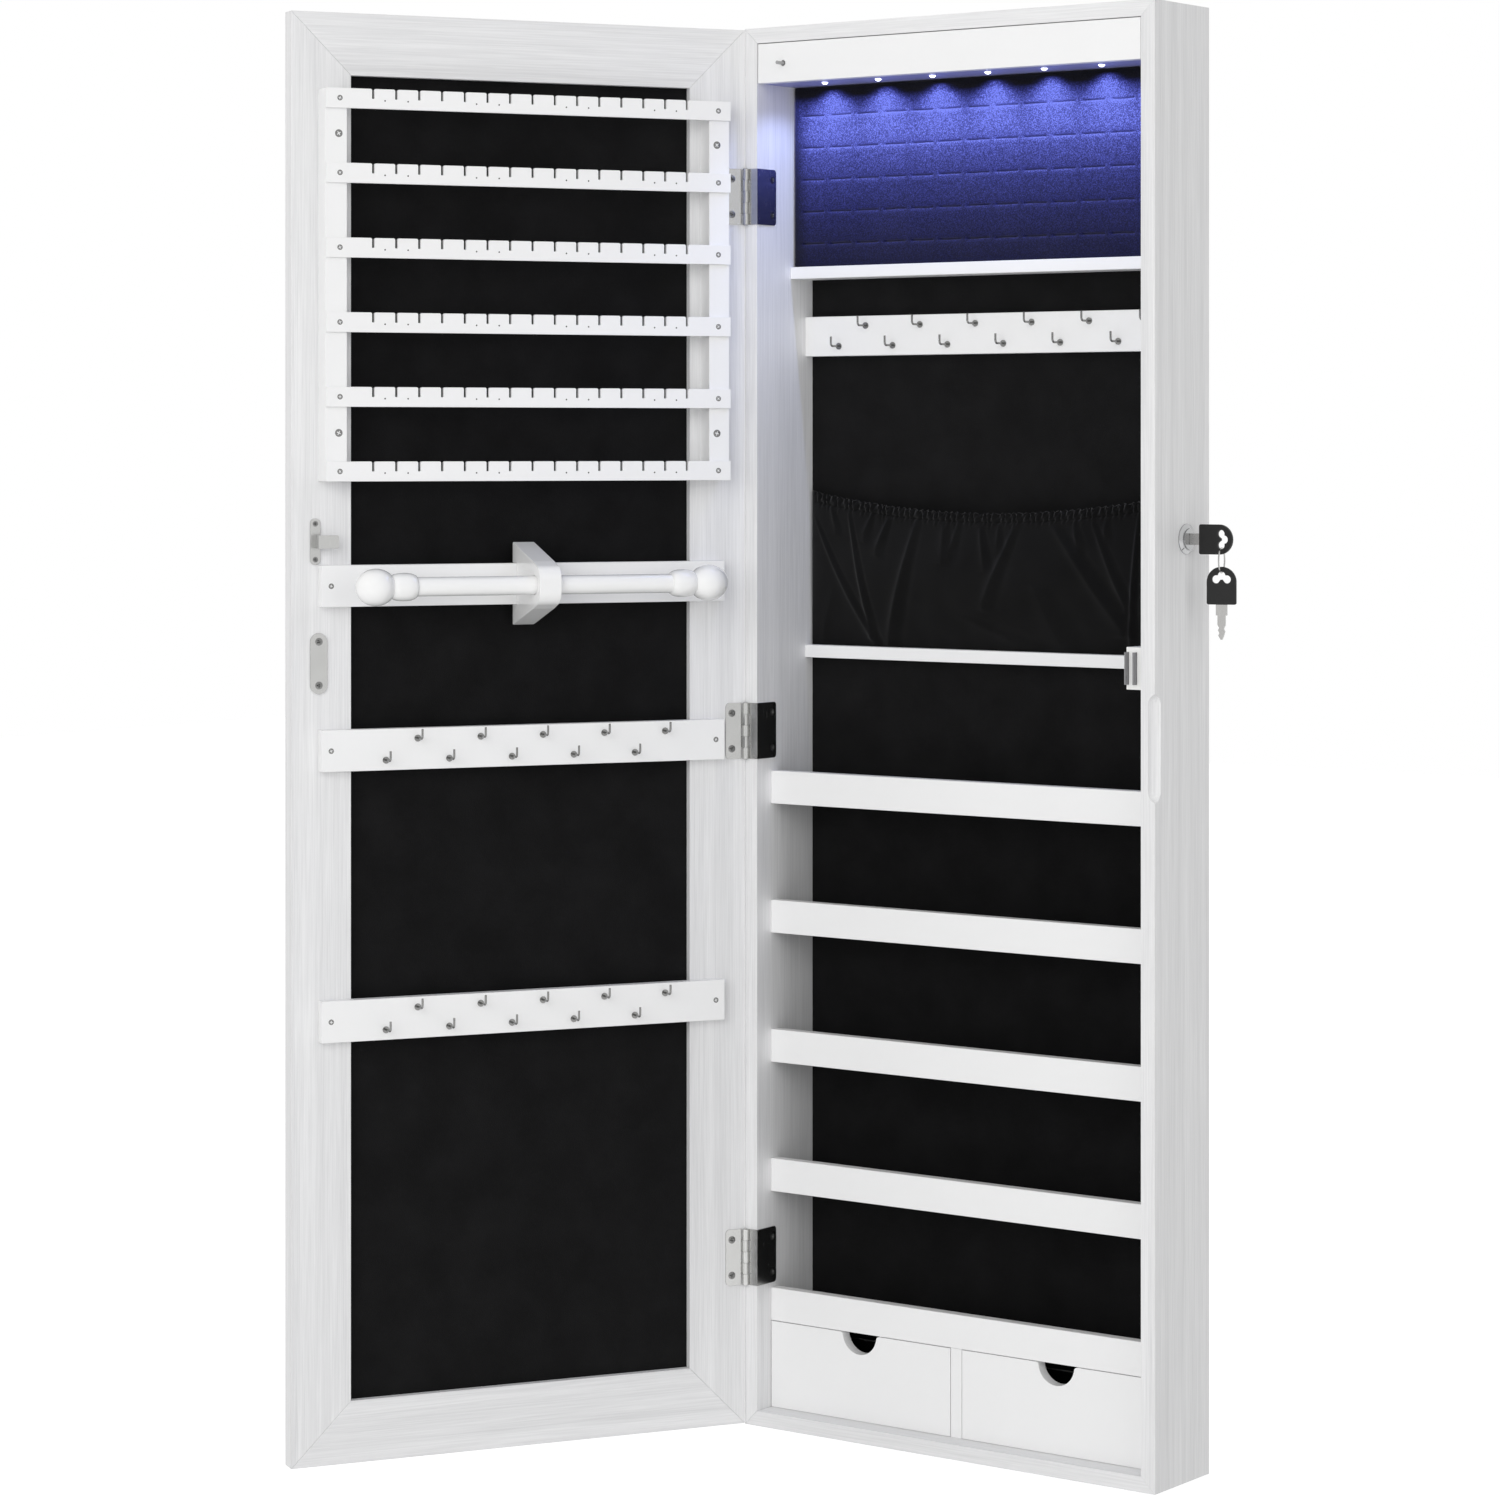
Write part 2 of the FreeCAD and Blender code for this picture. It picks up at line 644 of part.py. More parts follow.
def make_drawer(name, x0, x1):
    """A drawer of five boards with a finger notch, and its velvet tray."""
    low, high = board_t + drawer_lift, z_deck - joint_play
    x_notch = (x0 + x1) / 2
    front = box(x0, x1, y_rail, y_shelf, low, high)
    front = front.cut(cylinder(V(x_notch, y_rail - 1, high), AXIS_Y, notch_r, rail_t + 2))
    shoulders = [e for e in front.Edges
                 if abs(e.Length - rail_t) < 0.01 and abs(abs(e.CenterOfMass.x - x_notch) - notch_r) < 0.01]
    front = front.makeFillet(notch_shoulder_r, shoulders)
    y_end = y_lining - joint_play
    top = low + drawer_side_h
    sides = [box(x, x + drawer_side_t, y_shelf, y_end, low, top) for x in (x0, x1 - drawer_side_t)]
    inner0, inner1 = x0 + drawer_side_t, x1 - drawer_side_t
    rear = box(inner0, inner1, y_end - drawer_side_t, y_end, low, top)
    base = box(inner0, inner1, y_shelf, y_end - drawer_side_t, low, low + drawer_base_t)
    save(name, front, *sides, rear, base)
    outer = box(inner0, inner1, y_shelf, y_end - drawer_side_t, low + drawer_base_t, top)
    t = drawer_lining_t
    hollow = box(inner0 + t, inner1 - t, y_shelf + t, y_end - drawer_side_t - t,
                 low + drawer_base_t + t, top + 1)
    save(name + "_lining", outer.cut(hollow))


def make_drawers():
    """The pair of drawers either side of the divider."""
    half = divider_t / 2
    make_drawer("drawer_left", -x_wall + joint_play, -half - joint_play)
    make_drawer("drawer_right", half + joint_play, x_wall - joint_play)


# ---- hinges -----------------------------------------------------------------------------
def knuckles(z_mid, which):
    """The barrel lengths of one leaf round the pin axis."""
    pitch = leaf_h / knuckle_count
    barrels = []
    for k in which:
        z = z_mid - leaf_h / 2 + k * pitch + knuckle_play / 2
        length = pitch - knuckle_play
        barrels.append((z, faceted([(0, knuckle_r), (length, knuckle_r)], V(x_pin, y_pin, z), AXIS_Z, 10)))
    return barrels


def leaf_with_barrels(leaf, z_mid, which, side):
    """Join a leaf to its barrels by short tabs and bore it; side is +1 at the case, -1 at the door."""
    pitch = leaf_h / knuckle_count - knuckle_play
    y_near, y_far = y_pin + side * (door_gap / 2 - leaf_t), y_pin + side * door_gap / 2
    pieces = []
    for z, barrel in knuckles(z_mid, which):
        tab = box(x_pin, x_pin + knuckle_r + 1, min(y_near, y_far), max(y_near, y_far), z, z + pitch)
        pieces += [barrel, tab]
    hole = bore(V(x_pin, y_pin, z_mid - leaf_h), AXIS_Z, pin_r + run_play, 2 * leaf_h, 8)
    return fuse(leaf, *pieces).cut(hole)


def case_leaf(z):
    """The case leaf: across the front edge of the board, then bent along its inner face."""
    x_start = x_pin + knuckle_r + 0.4
    front = box(x_start, -x_wall + leaf_t, y_front - leaf_t, y_front, z - leaf_h / 2, z + leaf_h / 2)
    half = leaf_h / 2
    corners = [(y_front - leaf_t, z - half, 0), (y_front + flange_depth, z - half, leaf_corner_r),
               (y_front + flange_depth, z + half, leaf_corner_r), (y_front - leaf_t, z + half, 0)]
    flange = plate(corners, on_yz(-x_wall), V(leaf_t, 0, 0))
    leaf = leaf_with_barrels(fuse(front, flange), z, range(0, knuckle_count, 2), 1)
    return leaf.cut(Part.makeCompound(case_leaf_screws(z)))


def door_leaf(z):
    """The door leaf: a flat plate on the inner face of the door."""
    x_start, half = x_pin + knuckle_r + 0.4, leaf_h / 2
    corners = [(x_start, z - half, 0), (x_pin + leaf_w, z - half, leaf_corner_r),
               (x_pin + leaf_w, z + half, leaf_corner_r), (x_start, z + half, 0)]
    leaf = plate(corners, on_xz(y_door), V(0, leaf_t, 0))
    leaf = leaf_with_barrels(leaf, z, range(1, knuckle_count, 2), -1)
    return leaf.cut(Part.makeCompound(door_leaf_screws(z)))


def case_leaf_screws(z):
    """Two screws through the bent flange into the side board."""
    y = y_front + flange_depth - leaf_screw_edge
    return [screw(V(-x_wall + leaf_t, y, z + side * leaf_screw_span / 2), V(-1, 0, 0)) for side in (-1, 1)]


def door_leaf_screws(z):
    """Two screws through the flat leaf into the door."""
    x = x_pin + leaf_w - leaf_screw_edge
    return [screw(V(x, y_door + leaf_t, z + side * leaf_screw_span / 2), V(0, -1, 0)) for side in (-1, 1)]


def hinge_pin(z):
    """A pin with a small head at each end."""
    low, high = z - leaf_h / 2, z + leaf_h / 2
    profile = [(low - pin_head_t, pin_head_r * 0.7), (low, pin_head_r), (low, pin_r),
               (high, pin_r), (high, pin_head_r), (high + pin_head_t, pin_head_r * 0.7)]
    return faceted(profile, V(x_pin, y_pin, 0), AXIS_Z)


def make_hinges():
    """Three wrap-round butt hinges."""
    save("hinge_case_leaves", *[case_leaf(z) for z in hinge_levels])
    save("hinge_pins", *[hinge_pin(z) for z in hinge_levels])
    save_on_door("hinge_door_leaves", *[door_leaf(z) for z in hinge_levels])


# ---- lock and keys ----------------------------------------------------------------------
def lock_point(x):
    """A point on the lock's axis."""
    return V(x, y_lock, lock_z)


def make_lock():
    """Barrel and nut, the plug that turns in it and the hooked cam on its tail."""
    profile = [(x_barrel_end, barrel_r), (half_width, barrel_r), (half_width, bezel_r),
               (half_width + bezel_t * 0.35, bezel_r), (half_width + bezel_t, bezel_r - bezel_t * 0.8)]
    hole = bore(lock_point(x_barrel_end - 1), AXIS_X, plug_r + run_play, half_width - x_barrel_end + 5, 36)
    save("lock_body", faceted(profile, lock_point(0), AXIS_X, 36).cut(hole))
    nut_corners = []
    for k in range(6):
        turn = math.radians(60 * k)
        nut_corners.append((y_lock + nut_r * math.cos(turn), lock_z + nut_r * math.sin(turn), 0))
    nut = plate(nut_corners, on_yz(x_wall - nut_t), V(nut_t, 0, 0))
    save("lock_nut", nut.cut(bore(lock_point(x_wall - nut_t - 1), AXIS_X, barrel_r, nut_t + 2, 36)))
    plug = cylinder(lock_point(x_barrel_end), AXIS_X, plug_r, x_plug_face - x_barrel_end)
    half, x_tail = tail_side / 2, x_barrel_end - cam_play - cam_t
    tail = box(x_tail, x_barrel_end + 1, y_lock - half, y_lock + half, lock_z - half, lock_z + half)
    slot_t, slot_w2 = key_t / 2 + keyway_play, blade_w / 2 + keyway_play
    keyway = box(x_plug_face - blade_len - 1, x_plug_face + 1, y_lock - slot_t, y_lock + slot_t,
                 lock_z - slot_w2, lock_z + slot_w2)
    save("lock_plug", fuse(plug, tail).cut(keyway))
    head = faceted([(0, cam_screw_r), (cam_screw_t, cam_screw_r)], lock_point(x_tail - cam_screw_t), AXIS_X, 12)
    save("lock_cam", cam(), head)


def cam():
    """The hooked cam, drawn reaching forward as when locked, then turned up to unlocked."""
    reach = y_lock - (y_door + tab_stand - strike_t - cam_play)
    tip = reach + cam_hook_w
    forward = [(-cam_hub_r, -cam_hub_r, 5), (cam_hub_r, -cam_hub_r, 5), (cam_hub_r, cam_arm_low, 1),
               (reach, cam_arm_low, 0.5), (reach, -cam_hook_drop, 1), (tip, -cam_hook_drop, 2.5),
               (tip, cam_arm_high, 3), (-cam_hub_r, cam_arm_high, 5)]
    x = x_barrel_end - cam_play - cam_t
    blank = plate(forward, lambda p: V(x, y_lock - p.x, lock_z + p.y), V(cam_t, 0, 0))
    half = tail_side / 2
    hole = box(x - 1, x + cam_t + 1, y_lock - half, y_lock + half, lock_z - half, lock_z + half)
    return blank.cut(hole).rotate(lock_point(0), AXIS_X, -90)


def key(base, along, across):
    """A key: base is the middle of the flat end of the head, along points to its round end."""
    thick = along.cross(across)
    half, r = key_head_w / 2, key_head_w / 2 - 0.01

    def at(p):
        return base + along * p.x + across * p.y - thick * key_head_t / 2

    corners = [(0, -half, 1.5), (key_head_len, -half, r), (key_head_len, half, r), (0, half, 1.5)]
    head = plate(corners, at, thick * key_head_t)
    lobes = [(key_lobe_mid, 0), (key_lobe_low, -key_lobe_side), (key_lobe_low, key_lobe_side)]
    for down, side in lobes:
        centre = base + along * (key_head_len - down) + across * side - thick * key_head_t
        lobe = faceted([(0, key_lobe_r), (2 * key_head_t, key_lobe_r)], centre, thick, 16)
        head = head.cut(lobe)
    bit, tip = blade_w / 2, -(shoulder_len + blade_len)
    teeth = [(0, shoulder_w / 2, 0), (0, -shoulder_w / 2, 0), (-shoulder_len, -shoulder_w / 2, 0),
             (-shoulder_len, -bit, 0), (tip + 11, -bit, 0), (tip + 9, -bit + 1.2, 0), (tip + 7, -bit + 0.4, 0),
             (tip + 5, -bit + 1.4, 0), (tip + 3, -bit + 0.6, 0), (tip, -0.6, 0), (tip, 0.6, 0),
             (tip + 3, bit - 1.2, 0), (tip + 6, bit - 0.3, 0), (tip + 8, bit - 1.3, 0), (tip + 11, bit, 0),
             (-shoulder_len, bit, 0), (-shoulder_len, shoulder_w / 2, 0)]
    blade = plate(teeth, lambda p: base + along * p.x + across * p.y - thick * key_t / 2, thick * key_t)
    return head, blade


def make_keys():
    """The key in the lock, the ring through its head and the spare key that hangs on it."""
    base = lock_point(x_plug_face + keyway_play + shoulder_len)
    head, blade = key(base, AXIS_X, AXIS_Z)
    save("key_head", head)
    save("key_blade", blade)
    turn = math.radians(ring_turn)
    across = V(math.cos(turn), math.sin(turn), 0)
    hole_low = lock_z - key_lobe_side - key_lobe_r
    z_ring = hole_low + ring_play - (ring_r - ring_wire_r)
    centre = V(base.x + key_head_len - key_lobe_low, y_lock, z_ring)
    side, sections = across.cross(AXIS_Z), []
    for step in range(ring_steps):
        turn = 2 * math.pi * step / ring_steps
        out = AXIS_Z * math.cos(turn) + side * math.sin(turn)
        angles = [math.pi * k / 3 for k in range(6)]
        sections.append([centre + out * (ring_r + ring_wire_r * math.cos(angle))
                         + across * ring_wire_r * math.sin(angle) for angle in angles])
    save("key_ring", skin(sections, True))
    z_hole_top = z_ring - (ring_r - ring_wire_r) + ring_play
    z_base = z_hole_top + key_lobe_mid - key_lobe_r - key_head_len
    spare_head, spare_blade = key(V(centre.x, centre.y, z_base), AXIS_Z, across)
    save("spare_key_head", spare_head)
    save("spare_key_blade", spare_blade)
    print("ring hangs at", round(centre.x, 2), round(centre.y, 2), "rim middle z",
          round((hole_low + lock_z - key_head_w / 2) / 2, 2), "ring foot z", round(z_ring - ring_r, 2))


# ---- magnetic catch ---------------------------------------------------------------------
def make_catch():
    """A housing with a magnet between two steel blades, and its flange on the side board."""
    x0, y0 = x_wall - catch_w, y_front + catch_set_back
    body = box(x0, x_wall, y0, y0 + catch_d, catch_z - catch_h / 2, catch_z + catch_h / 2)
    y_flange = y0 + catch_d - catch_flange_d
    flange = box(x_wall - catch_flange_t, x_wall, y_flange, y_flange + catch_flange_d,
                 catch_z - catch_flange_h / 2, catch_z + catch_flange_h / 2)
    x_mid = x_wall - catch_flange_t - (catch_w - catch_flange_t) / 2
    y_tip, y_end = y_door + plate_t + catch_blade_play, y0 + catch_d - 2
    low, high = catch_z - catch_blade_h / 2, catch_z + catch_blade_h / 2
    steel = []
    for side in (-1, 1):
        x = x_mid + side * (blade_gap + catch_blade_t) / 2 - catch_blade_t / 2
        steel.append(box(x, x + catch_blade_t, y_tip, y_end, low, high))
    magnet = box(x_mid - blade_gap / 2, x_mid + blade_gap / 2, y0 + catch_tongue, y_end, low, high)
    hollow = Part.makeCompound([magnet] + steel)
    save("catch_body", fuse(body, flange).cut(hollow).cut(Part.makeCompound(catch_screws())))
    save("catch_magnet", magnet, *steel)


def catch_screws():
    """Two screws through the ends of the catch's flange."""
    y = y_front + catch_set_back + catch_d - catch_flange_d / 2
    offset = (catch_h + catch_flange_h) / 4
    return [screw(V(x_wall - catch_flange_t, y, catch_z + side * offset), AXIS_X) for side in (-1, 1)]


def make_case_screws():
    """Every screw that goes into the case."""
    screws = [s for z in hinge_levels for s in case_leaf_screws(z)]
    save("case_screws", *screws, *catch_screws(), *hanger_screws())


# ---- door -------------------------------------------------------------------------------
def make_door_frame():
    """Four grooved and mitred rails round the mirror and its velvet-covered backing."""
    outer = [(x_door_hinge, z_door_low), (x_door_hinge, z_door_high), (x_door_free, z_door_high),
             (x_door_free, z_door_low)]
    x0, x1 = x_door_hinge + frame_w, x_door_free - frame_w
    z0, z1 = z_door_low + frame_w, z_door_high - frame_w
    inner = [(x0, z0), (x0, z1), (x1, z1), (x1, z0)]
    y_panel = y_door - panel_recess
    y_glass = y_panel - door_panel_t - mirror_t
    groove = box(x0 - groove_depth, x1 + groove_depth, y_glass - groove_play, y_panel,
                 z0 - groove_depth, z1 + groove_depth)
    names = ["stile_hinge_side", "door_rail_top", "stile_lock_side", "door_rail_bottom"]
    for k, name in enumerate(names):
        n = (k + 1) % 4
        corners = [(x, z, 0) for x, z in (outer[k], outer[n], inner[n], inner[k])]
        save_on_door(name, plate(corners, on_xz(y_door - door_t), V(0, door_t, 0)).cut(groove))
    reach = groove_depth - joint_play
    spread = (x0 - reach, x1 + reach)
    rise = (z0 - reach, z1 + reach)
    save_on_door("door_lining", box(*spread, y_panel - door_panel_t, y_panel, *rise))
    save_on_door("mirror_glass", box(*spread, y_glass, y_glass + mirror_t, *rise))


def earring_bar(z):
    """One bar: a strip with a row of slots cut down from its top edge, their mouths eased."""
    y_face = y_door + stand_t
    top, mouth = z + bar_h, 0.8
    corners = [(x_fit_low, z, 0), (x_fit_high, z, 0), (x_fit_high, top, 0)]
    for k in reversed(range(slot_count)):
        x = x_door_mid + (k - (slot_count - 1) / 2) * slot_pitch
        left, right, foot = x - slot_w / 2, x + slot_w / 2, top - slot_depth
        corners += [(right + mouth, top, 0), (right, top - mouth, 0), (right, foot, 0), (left, foot, 0),
                    (left, top - mouth, 0), (left - mouth, top, 0)]
    corners.append((x_fit_low, top, 0))
    return plate(corners, on_xz(y_face), V(0, bar_t, 0))


def make_earring_frame():
    """Two stand-off rails and the six slotted bars across them."""
    starts = (x_fit_low, x_fit_high - stand_w)
    rails = [box(x, x + stand_w, y_door, y_door + stand_t, z_earring, z_earring_top) for x in starts]
    save_on_door("earring_rails", *rails)
    bars = [earring_bar(z_earring + k * earring_pitch) for k in range(earring_bars)]
    save_on_door("earring_bars", *bars)


def make_bracelet_bar():
    """Board, nosed bracket, rod and the turned ball ends of the bracelet bar."""
    half = hook_board_h / 2
    board = box(x_fit_low, x_fit_high, y_door, y_door + fitting_t, z_bracelet - half, z_bracelet + half)
    save_on_door("bracelet_board", board)
    upper = [(bracket_reach, bracket_nose_r, bracket_nose_r - 0.01),
             (bracket_neck, bracket_neck_half_h, bracket_edge_r), (0, bracket_half_h, 0)]
    side = [(out, -up, r) for out, up, r in reversed(upper)] + upper
    x0 = x_door_mid - bracket_w / 2
    block = plate(side, lambda p: V(x0, y_door + p.x, z_bracelet + p.y), V(bracket_w, 0, 0))
    y_rod = y_door + rod_reach
    rod = cylinder(V(x_door_mid - rod_len / 2, y_rod, z_bracelet), AXIS_X, rod_r, rod_len)
    save_on_door("bracelet_bracket", block.cut(board).cut(rod))
    ends = []
    for sign in (-1, 1):
        centre = V(x_door_mid + sign * rod_len / 2, y_rod, z_bracelet)
        ends.append(ball_end(centre, V(-sign, 0, 0)))
    save_on_door("bracelet_rod", rod.cut(Part.makeCompound(ends)))
    save_on_door("bracelet_knobs", *ends)


def ball_end(centre, inward):
    """A turned end: an egg-shaped ball, then a barrel-shaped collar on the rod's side."""
    turns = [math.radians(degrees) for degrees in (8, 26, 46, 68, 90, 110, 128)]
    profile = [(-ball_half_len * math.cos(turn), ball_r * math.sin(turn)) for turn in turns]
    start = profile[-1][0] + 0.5
    for share, bulge in ((0, 0.84), (0.25, 0.97), (0.5, 1), (0.75, 0.96), (1, 0.76)):
        profile.append((start + share * collar_len, collar_r * bulge))
    return faceted(profile, centre, inward, 20)


def make_door_hooks():
    """Two boards across the door with staggered hooks."""
    half = hook_board_h / 2
    boards, hooks = [], []
    for z in door_hook_levels:
        boards.append(box(x_fit_low, x_fit_high, y_door, y_door + fitting_t, z - half, z + half))
        for x, z_hook in staggered(door_hook_count, door_hook_pitch, x_door_mid, z, True):
            hooks.append(hook(x, y_door + fitting_t, z_hook, 1))
    save_on_door("door_hook_boards", *boards)
    save_on_door("door_hooks", *hooks)


def strike_screws():
    """Two screws in the lock strike and two in the catch plate."""
    x = x_door_free - strike_from_edge - strike_w / 2
    screws = [screw(V(x, y_door + strike_t, z_tab + side * (strike_h / 2 - 4)), V(0, -1, 0), small_head_r)
              for side in (-1, 1)]
    x = x_door_free - plate_from_edge - plate_w / 2
    screws += [screw(V(x, y_door + plate_t, catch_z + side * (plate_h / 2 - 6.5)), V(0, -1, 0))
               for side in (-1, 1)]
    return screws


def make_strikes():
    """The lock strike with its raised tab, and the steel plate for the magnet."""
    x1 = x_door_free - strike_from_edge
    x0, half = x1 - strike_w, strike_h / 2
    corners = [(x0, z_tab - half, 3.5), (x1, z_tab - half, 3.5), (x1, z_tab + half, 3.5), (x0, z_tab + half, 3.5)]
    foot = plate(corners, on_xz(y_door), V(0, strike_t, 0))
    low, high = z_tab - tab_h / 2, z_tab + tab_h / 2
    x_leg = (x0 + x1) / 2
    leg = box(x_leg - strike_t / 2, x_leg + strike_t / 2, y_door, y_door + tab_stand, low, high)
    x_end = x_leg + strike_t / 2 - tab_len
    corners = [(x_end, low, 1.5), (x_leg + strike_t / 2, low, 0), (x_leg + strike_t / 2, high, 0),
               (x_end, high, 1.5)]
    tab = plate(corners, on_xz(y_door + tab_stand - strike_t), V(0, strike_t, 0))
    screws = Part.makeCompound(strike_screws())
    save_on_door("lock_strike", fuse(foot, leg, tab).cut(screws))
    x1 = x_door_free - plate_from_edge
    x0, half, r = x1 - plate_w, plate_h / 2, plate_w / 2 - 0.01
    corners = [(x0, catch_z - half, r), (x1, catch_z - half, r), (x1, catch_z + half, r), (x0, catch_z + half, r)]
    save_on_door("catch_strike", plate(corners, on_xz(y_door), V(0, plate_t, 0)).cut(screws))


def make_door_screws():
    """Every screw that goes into the door."""
    inward = V(0, -1, 0)
    screws = [s for z in hinge_levels for s in door_leaf_screws(z)] + strike_screws()
    for z in door_hook_levels + [z_bracelet]:
        for x in (x_fit_low + board_screw_in, x_fit_high - board_screw_in):
            screws.append(screw(V(x, y_door + fitting_t, z), inward, small_head_r, fitting_t + screw_len))
    for x in (x_fit_low + stand_screw_in, x_fit_high - stand_screw_in):
        for z in (z_earring + stand_screw_low, z_earring_top - stand_screw_high):
            screws.append(screw(V(x, y_door + stand_t, z), inward, screw_head_r, stand_t + screw_len))
        for k in range(earring_bars):
            z = z_earring + k * earring_pitch + bar_h / 2
            screws.append(screw(V(x, y_door + stand_t + bar_t, z), inward, small_head_r))
    save_on_door("door_screws", *screws)


make_case()
make_wall_fixing()
make_light_box()
make_ring_box()
make_necklace_hooks()
make_pocket()
make_shelves()
make_drawers()
make_hinges()
make_lock()
make_keys()
make_catch()
make_case_screws()
make_door_frame()
make_earring_frame()
make_bracelet_bar()
make_door_hooks()
make_strikes()
make_door_screws()
print("pin axis at", x_pin, y_pin, "files", len(os.listdir("parts")))
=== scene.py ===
# %% [markdown]
# A shallow wall cabinet for jewellery, with its mirror door open by 120 degrees. Its boards, hinges,
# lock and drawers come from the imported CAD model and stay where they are. This notebook dresses
# them: edges are eased, each material gets its finish, cloth gets its folds, and small repeated
# parts are set by Geometry Nodes.

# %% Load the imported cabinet
import json
import math

import bmesh
import bpy
import numpy as np
from mathutils import Matrix, Vector, noise


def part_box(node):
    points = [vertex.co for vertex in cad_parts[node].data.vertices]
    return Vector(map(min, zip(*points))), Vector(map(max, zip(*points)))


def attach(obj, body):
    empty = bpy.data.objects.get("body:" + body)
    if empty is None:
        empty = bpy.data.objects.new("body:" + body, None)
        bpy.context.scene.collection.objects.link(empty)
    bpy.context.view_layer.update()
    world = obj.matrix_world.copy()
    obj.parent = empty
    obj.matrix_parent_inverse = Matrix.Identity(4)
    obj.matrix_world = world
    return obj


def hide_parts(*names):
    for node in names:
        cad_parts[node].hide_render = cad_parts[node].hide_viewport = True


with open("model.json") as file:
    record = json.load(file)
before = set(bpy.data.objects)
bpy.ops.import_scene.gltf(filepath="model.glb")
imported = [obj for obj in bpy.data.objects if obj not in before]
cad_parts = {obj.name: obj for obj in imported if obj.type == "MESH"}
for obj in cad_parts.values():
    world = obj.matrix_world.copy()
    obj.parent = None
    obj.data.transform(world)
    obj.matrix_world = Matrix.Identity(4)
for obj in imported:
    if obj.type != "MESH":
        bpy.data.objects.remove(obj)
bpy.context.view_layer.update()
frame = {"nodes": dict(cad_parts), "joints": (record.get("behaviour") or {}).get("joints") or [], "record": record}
nodes = frame["nodes"]

# %% [markdown]
# Node sums read best as sums. `Wire` wraps one socket, and adding or multiplying wires adds the
# Math nodes. `Nodes` is any node tree: its `node` method makes a node from its type, its settings
# and what goes into its sockets. `Finish` is one material.

# %% Node sums and the finish builder
class Wire:
    """One output socket. Arithmetic on it adds Math nodes to its tree."""

    def __init__(self, owner, socket):
        self.owner, self.socket = owner, socket

    def maths(self, operation, *values):
        """This value and the others put through one Math node."""
        sockets = dict(enumerate((self, *values)))
        return self.owner.node("ShaderNodeMath", {"operation": operation}, sockets)

    def __add__(self, other):
        return self.maths("ADD", other)

    def __sub__(self, other):
        return self.maths("SUBTRACT", other)

    def __rsub__(self, other):
        return self.maths("MULTIPLY_ADD", -1.0, other)

    def __mul__(self, other):
        return self.maths("MULTIPLY", other)

    def __truediv__(self, other):
        return self.maths("DIVIDE", other)

    def __pow__(self, other):
        return self.maths("POWER", other)

    __radd__, __rmul__ = __add__, __mul__

    def kept(self, low, high):
        """This value, held between two numbers."""
        return self.maths("MAXIMUM", low).maths("MINIMUM", high)


class Nodes:
    """A node tree, and a method that adds any node to it."""

    def __init__(self, tree):
        self.tree = tree

    def node(self, kind, settings, sockets, out=0):
        made = self.tree.nodes.new(kind)
        for key, value in settings.items():
            setattr(made, key, value)
        for key, value in sockets.items():
            self.join(made.inputs[key], value)
        return Wire(self, made.outputs[out])

    def join(self, socket, value):
        """Put a wire, a number or a colour into a socket; one number makes a grey."""
        if isinstance(value, Wire):
            self.tree.links.new(value.socket, socket)
        elif socket.type == "RGBA":
            socket.default_value = (*value, 1) if isinstance(value, tuple) else (value, value, value, 1)
        else:
            socket.default_value = value


class Finish(Nodes):
    """One material: a Principled shader and what feeds it."""

    def __init__(self, name, **steady):
        self.material = bpy.data.materials.new(name)
        self.material.use_nodes = True
        super().__init__(self.material.node_tree)
        self.shader = self.tree.nodes["Principled BSDF"]
        self.place = self.node("ShaderNodeTexCoord", {}, {}, "Object")
        for socket, value in steady.items():
            self.give(socket.replace("_", " "), value)

    def give(self, socket, value):
        self.join(self.shader.inputs[socket], value)

    def speckle(self, size, detail=2.0, rough=0.5, along=None):
        """Noise from 0 to 1 whose grains are size metres across, stretched along an axis if asked."""
        place = self.place
        if along:
            turn, stretch = along
            place = self.node("ShaderNodeMapping", {}, {"Vector": place, "Rotation": turn})
            place = self.node("ShaderNodeMapping", {}, {"Vector": place, "Scale": stretch})
        sockets = {"Vector": place, "Scale": 1 / size, "Detail": detail, "Roughness": rough}
        return self.node("ShaderNodeTexNoise", {}, sockets)

    def mix(self, share, low, high):
        """A colour between two colours."""
        return self.node("ShaderNodeMix", {"data_type": "RGBA"}, {0: share, 6: low, 7: high}, 2)

    def bump(self, height, depth, strength=1.0):
        """Feed a height from 0 to 1 to the normal; depth is its real size in metres."""
        sockets = {"Height": height, "Distance": depth, "Strength": strength}
        self.give("Normal", self.node("ShaderNodeBump", {}, sockets))


print("finish builder ready")

# %% [markdown]
# The boards are wrapped in white foil pressed with a fine open grain that runs along each board, so
# the mitred corners show it turning. One noise, drawn out to hairlines along the grain, tints the
# white slightly and presses it in by about a tenth of a millimetre.

# %% Grained white foil, for boards that run three ways
def foil(name, turn, stretch):
    """White foil whose grain runs along the axis that stretch leaves long."""
    skin = Finish(name, Specular_IOR_Level=0.4)
    lines = skin.speckle(0.0011, 3.0, 0.6, (turn, stretch))
    drift = skin.speckle(0.009, 2.0, 0.5, (turn, stretch))
    tone = (lines * 0.6 + drift * 0.4 - 0.32) * 2.6
    skin.give("Base Color", skin.mix(tone.kept(0, 1), (0.69, 0.69, 0.695), (0.86, 0.86, 0.865)))
    skin.give("Roughness", 0.40 + lines * 0.2)
    skin.bump(lines, 0.00012, 0.7)
    return skin.material


door_angle = math.radians(120)
foil_upright = foil("foil_upright", (0, 0, 0), (1, 1, 0.018))
foil_case_across = foil("foil_case_across", (0, 0, 0), (0.018, 1, 1))
foil_door_across = foil("foil_door_across", (0, 0, door_angle), (0.018, 1, 1))
print("foil finishes", 3)

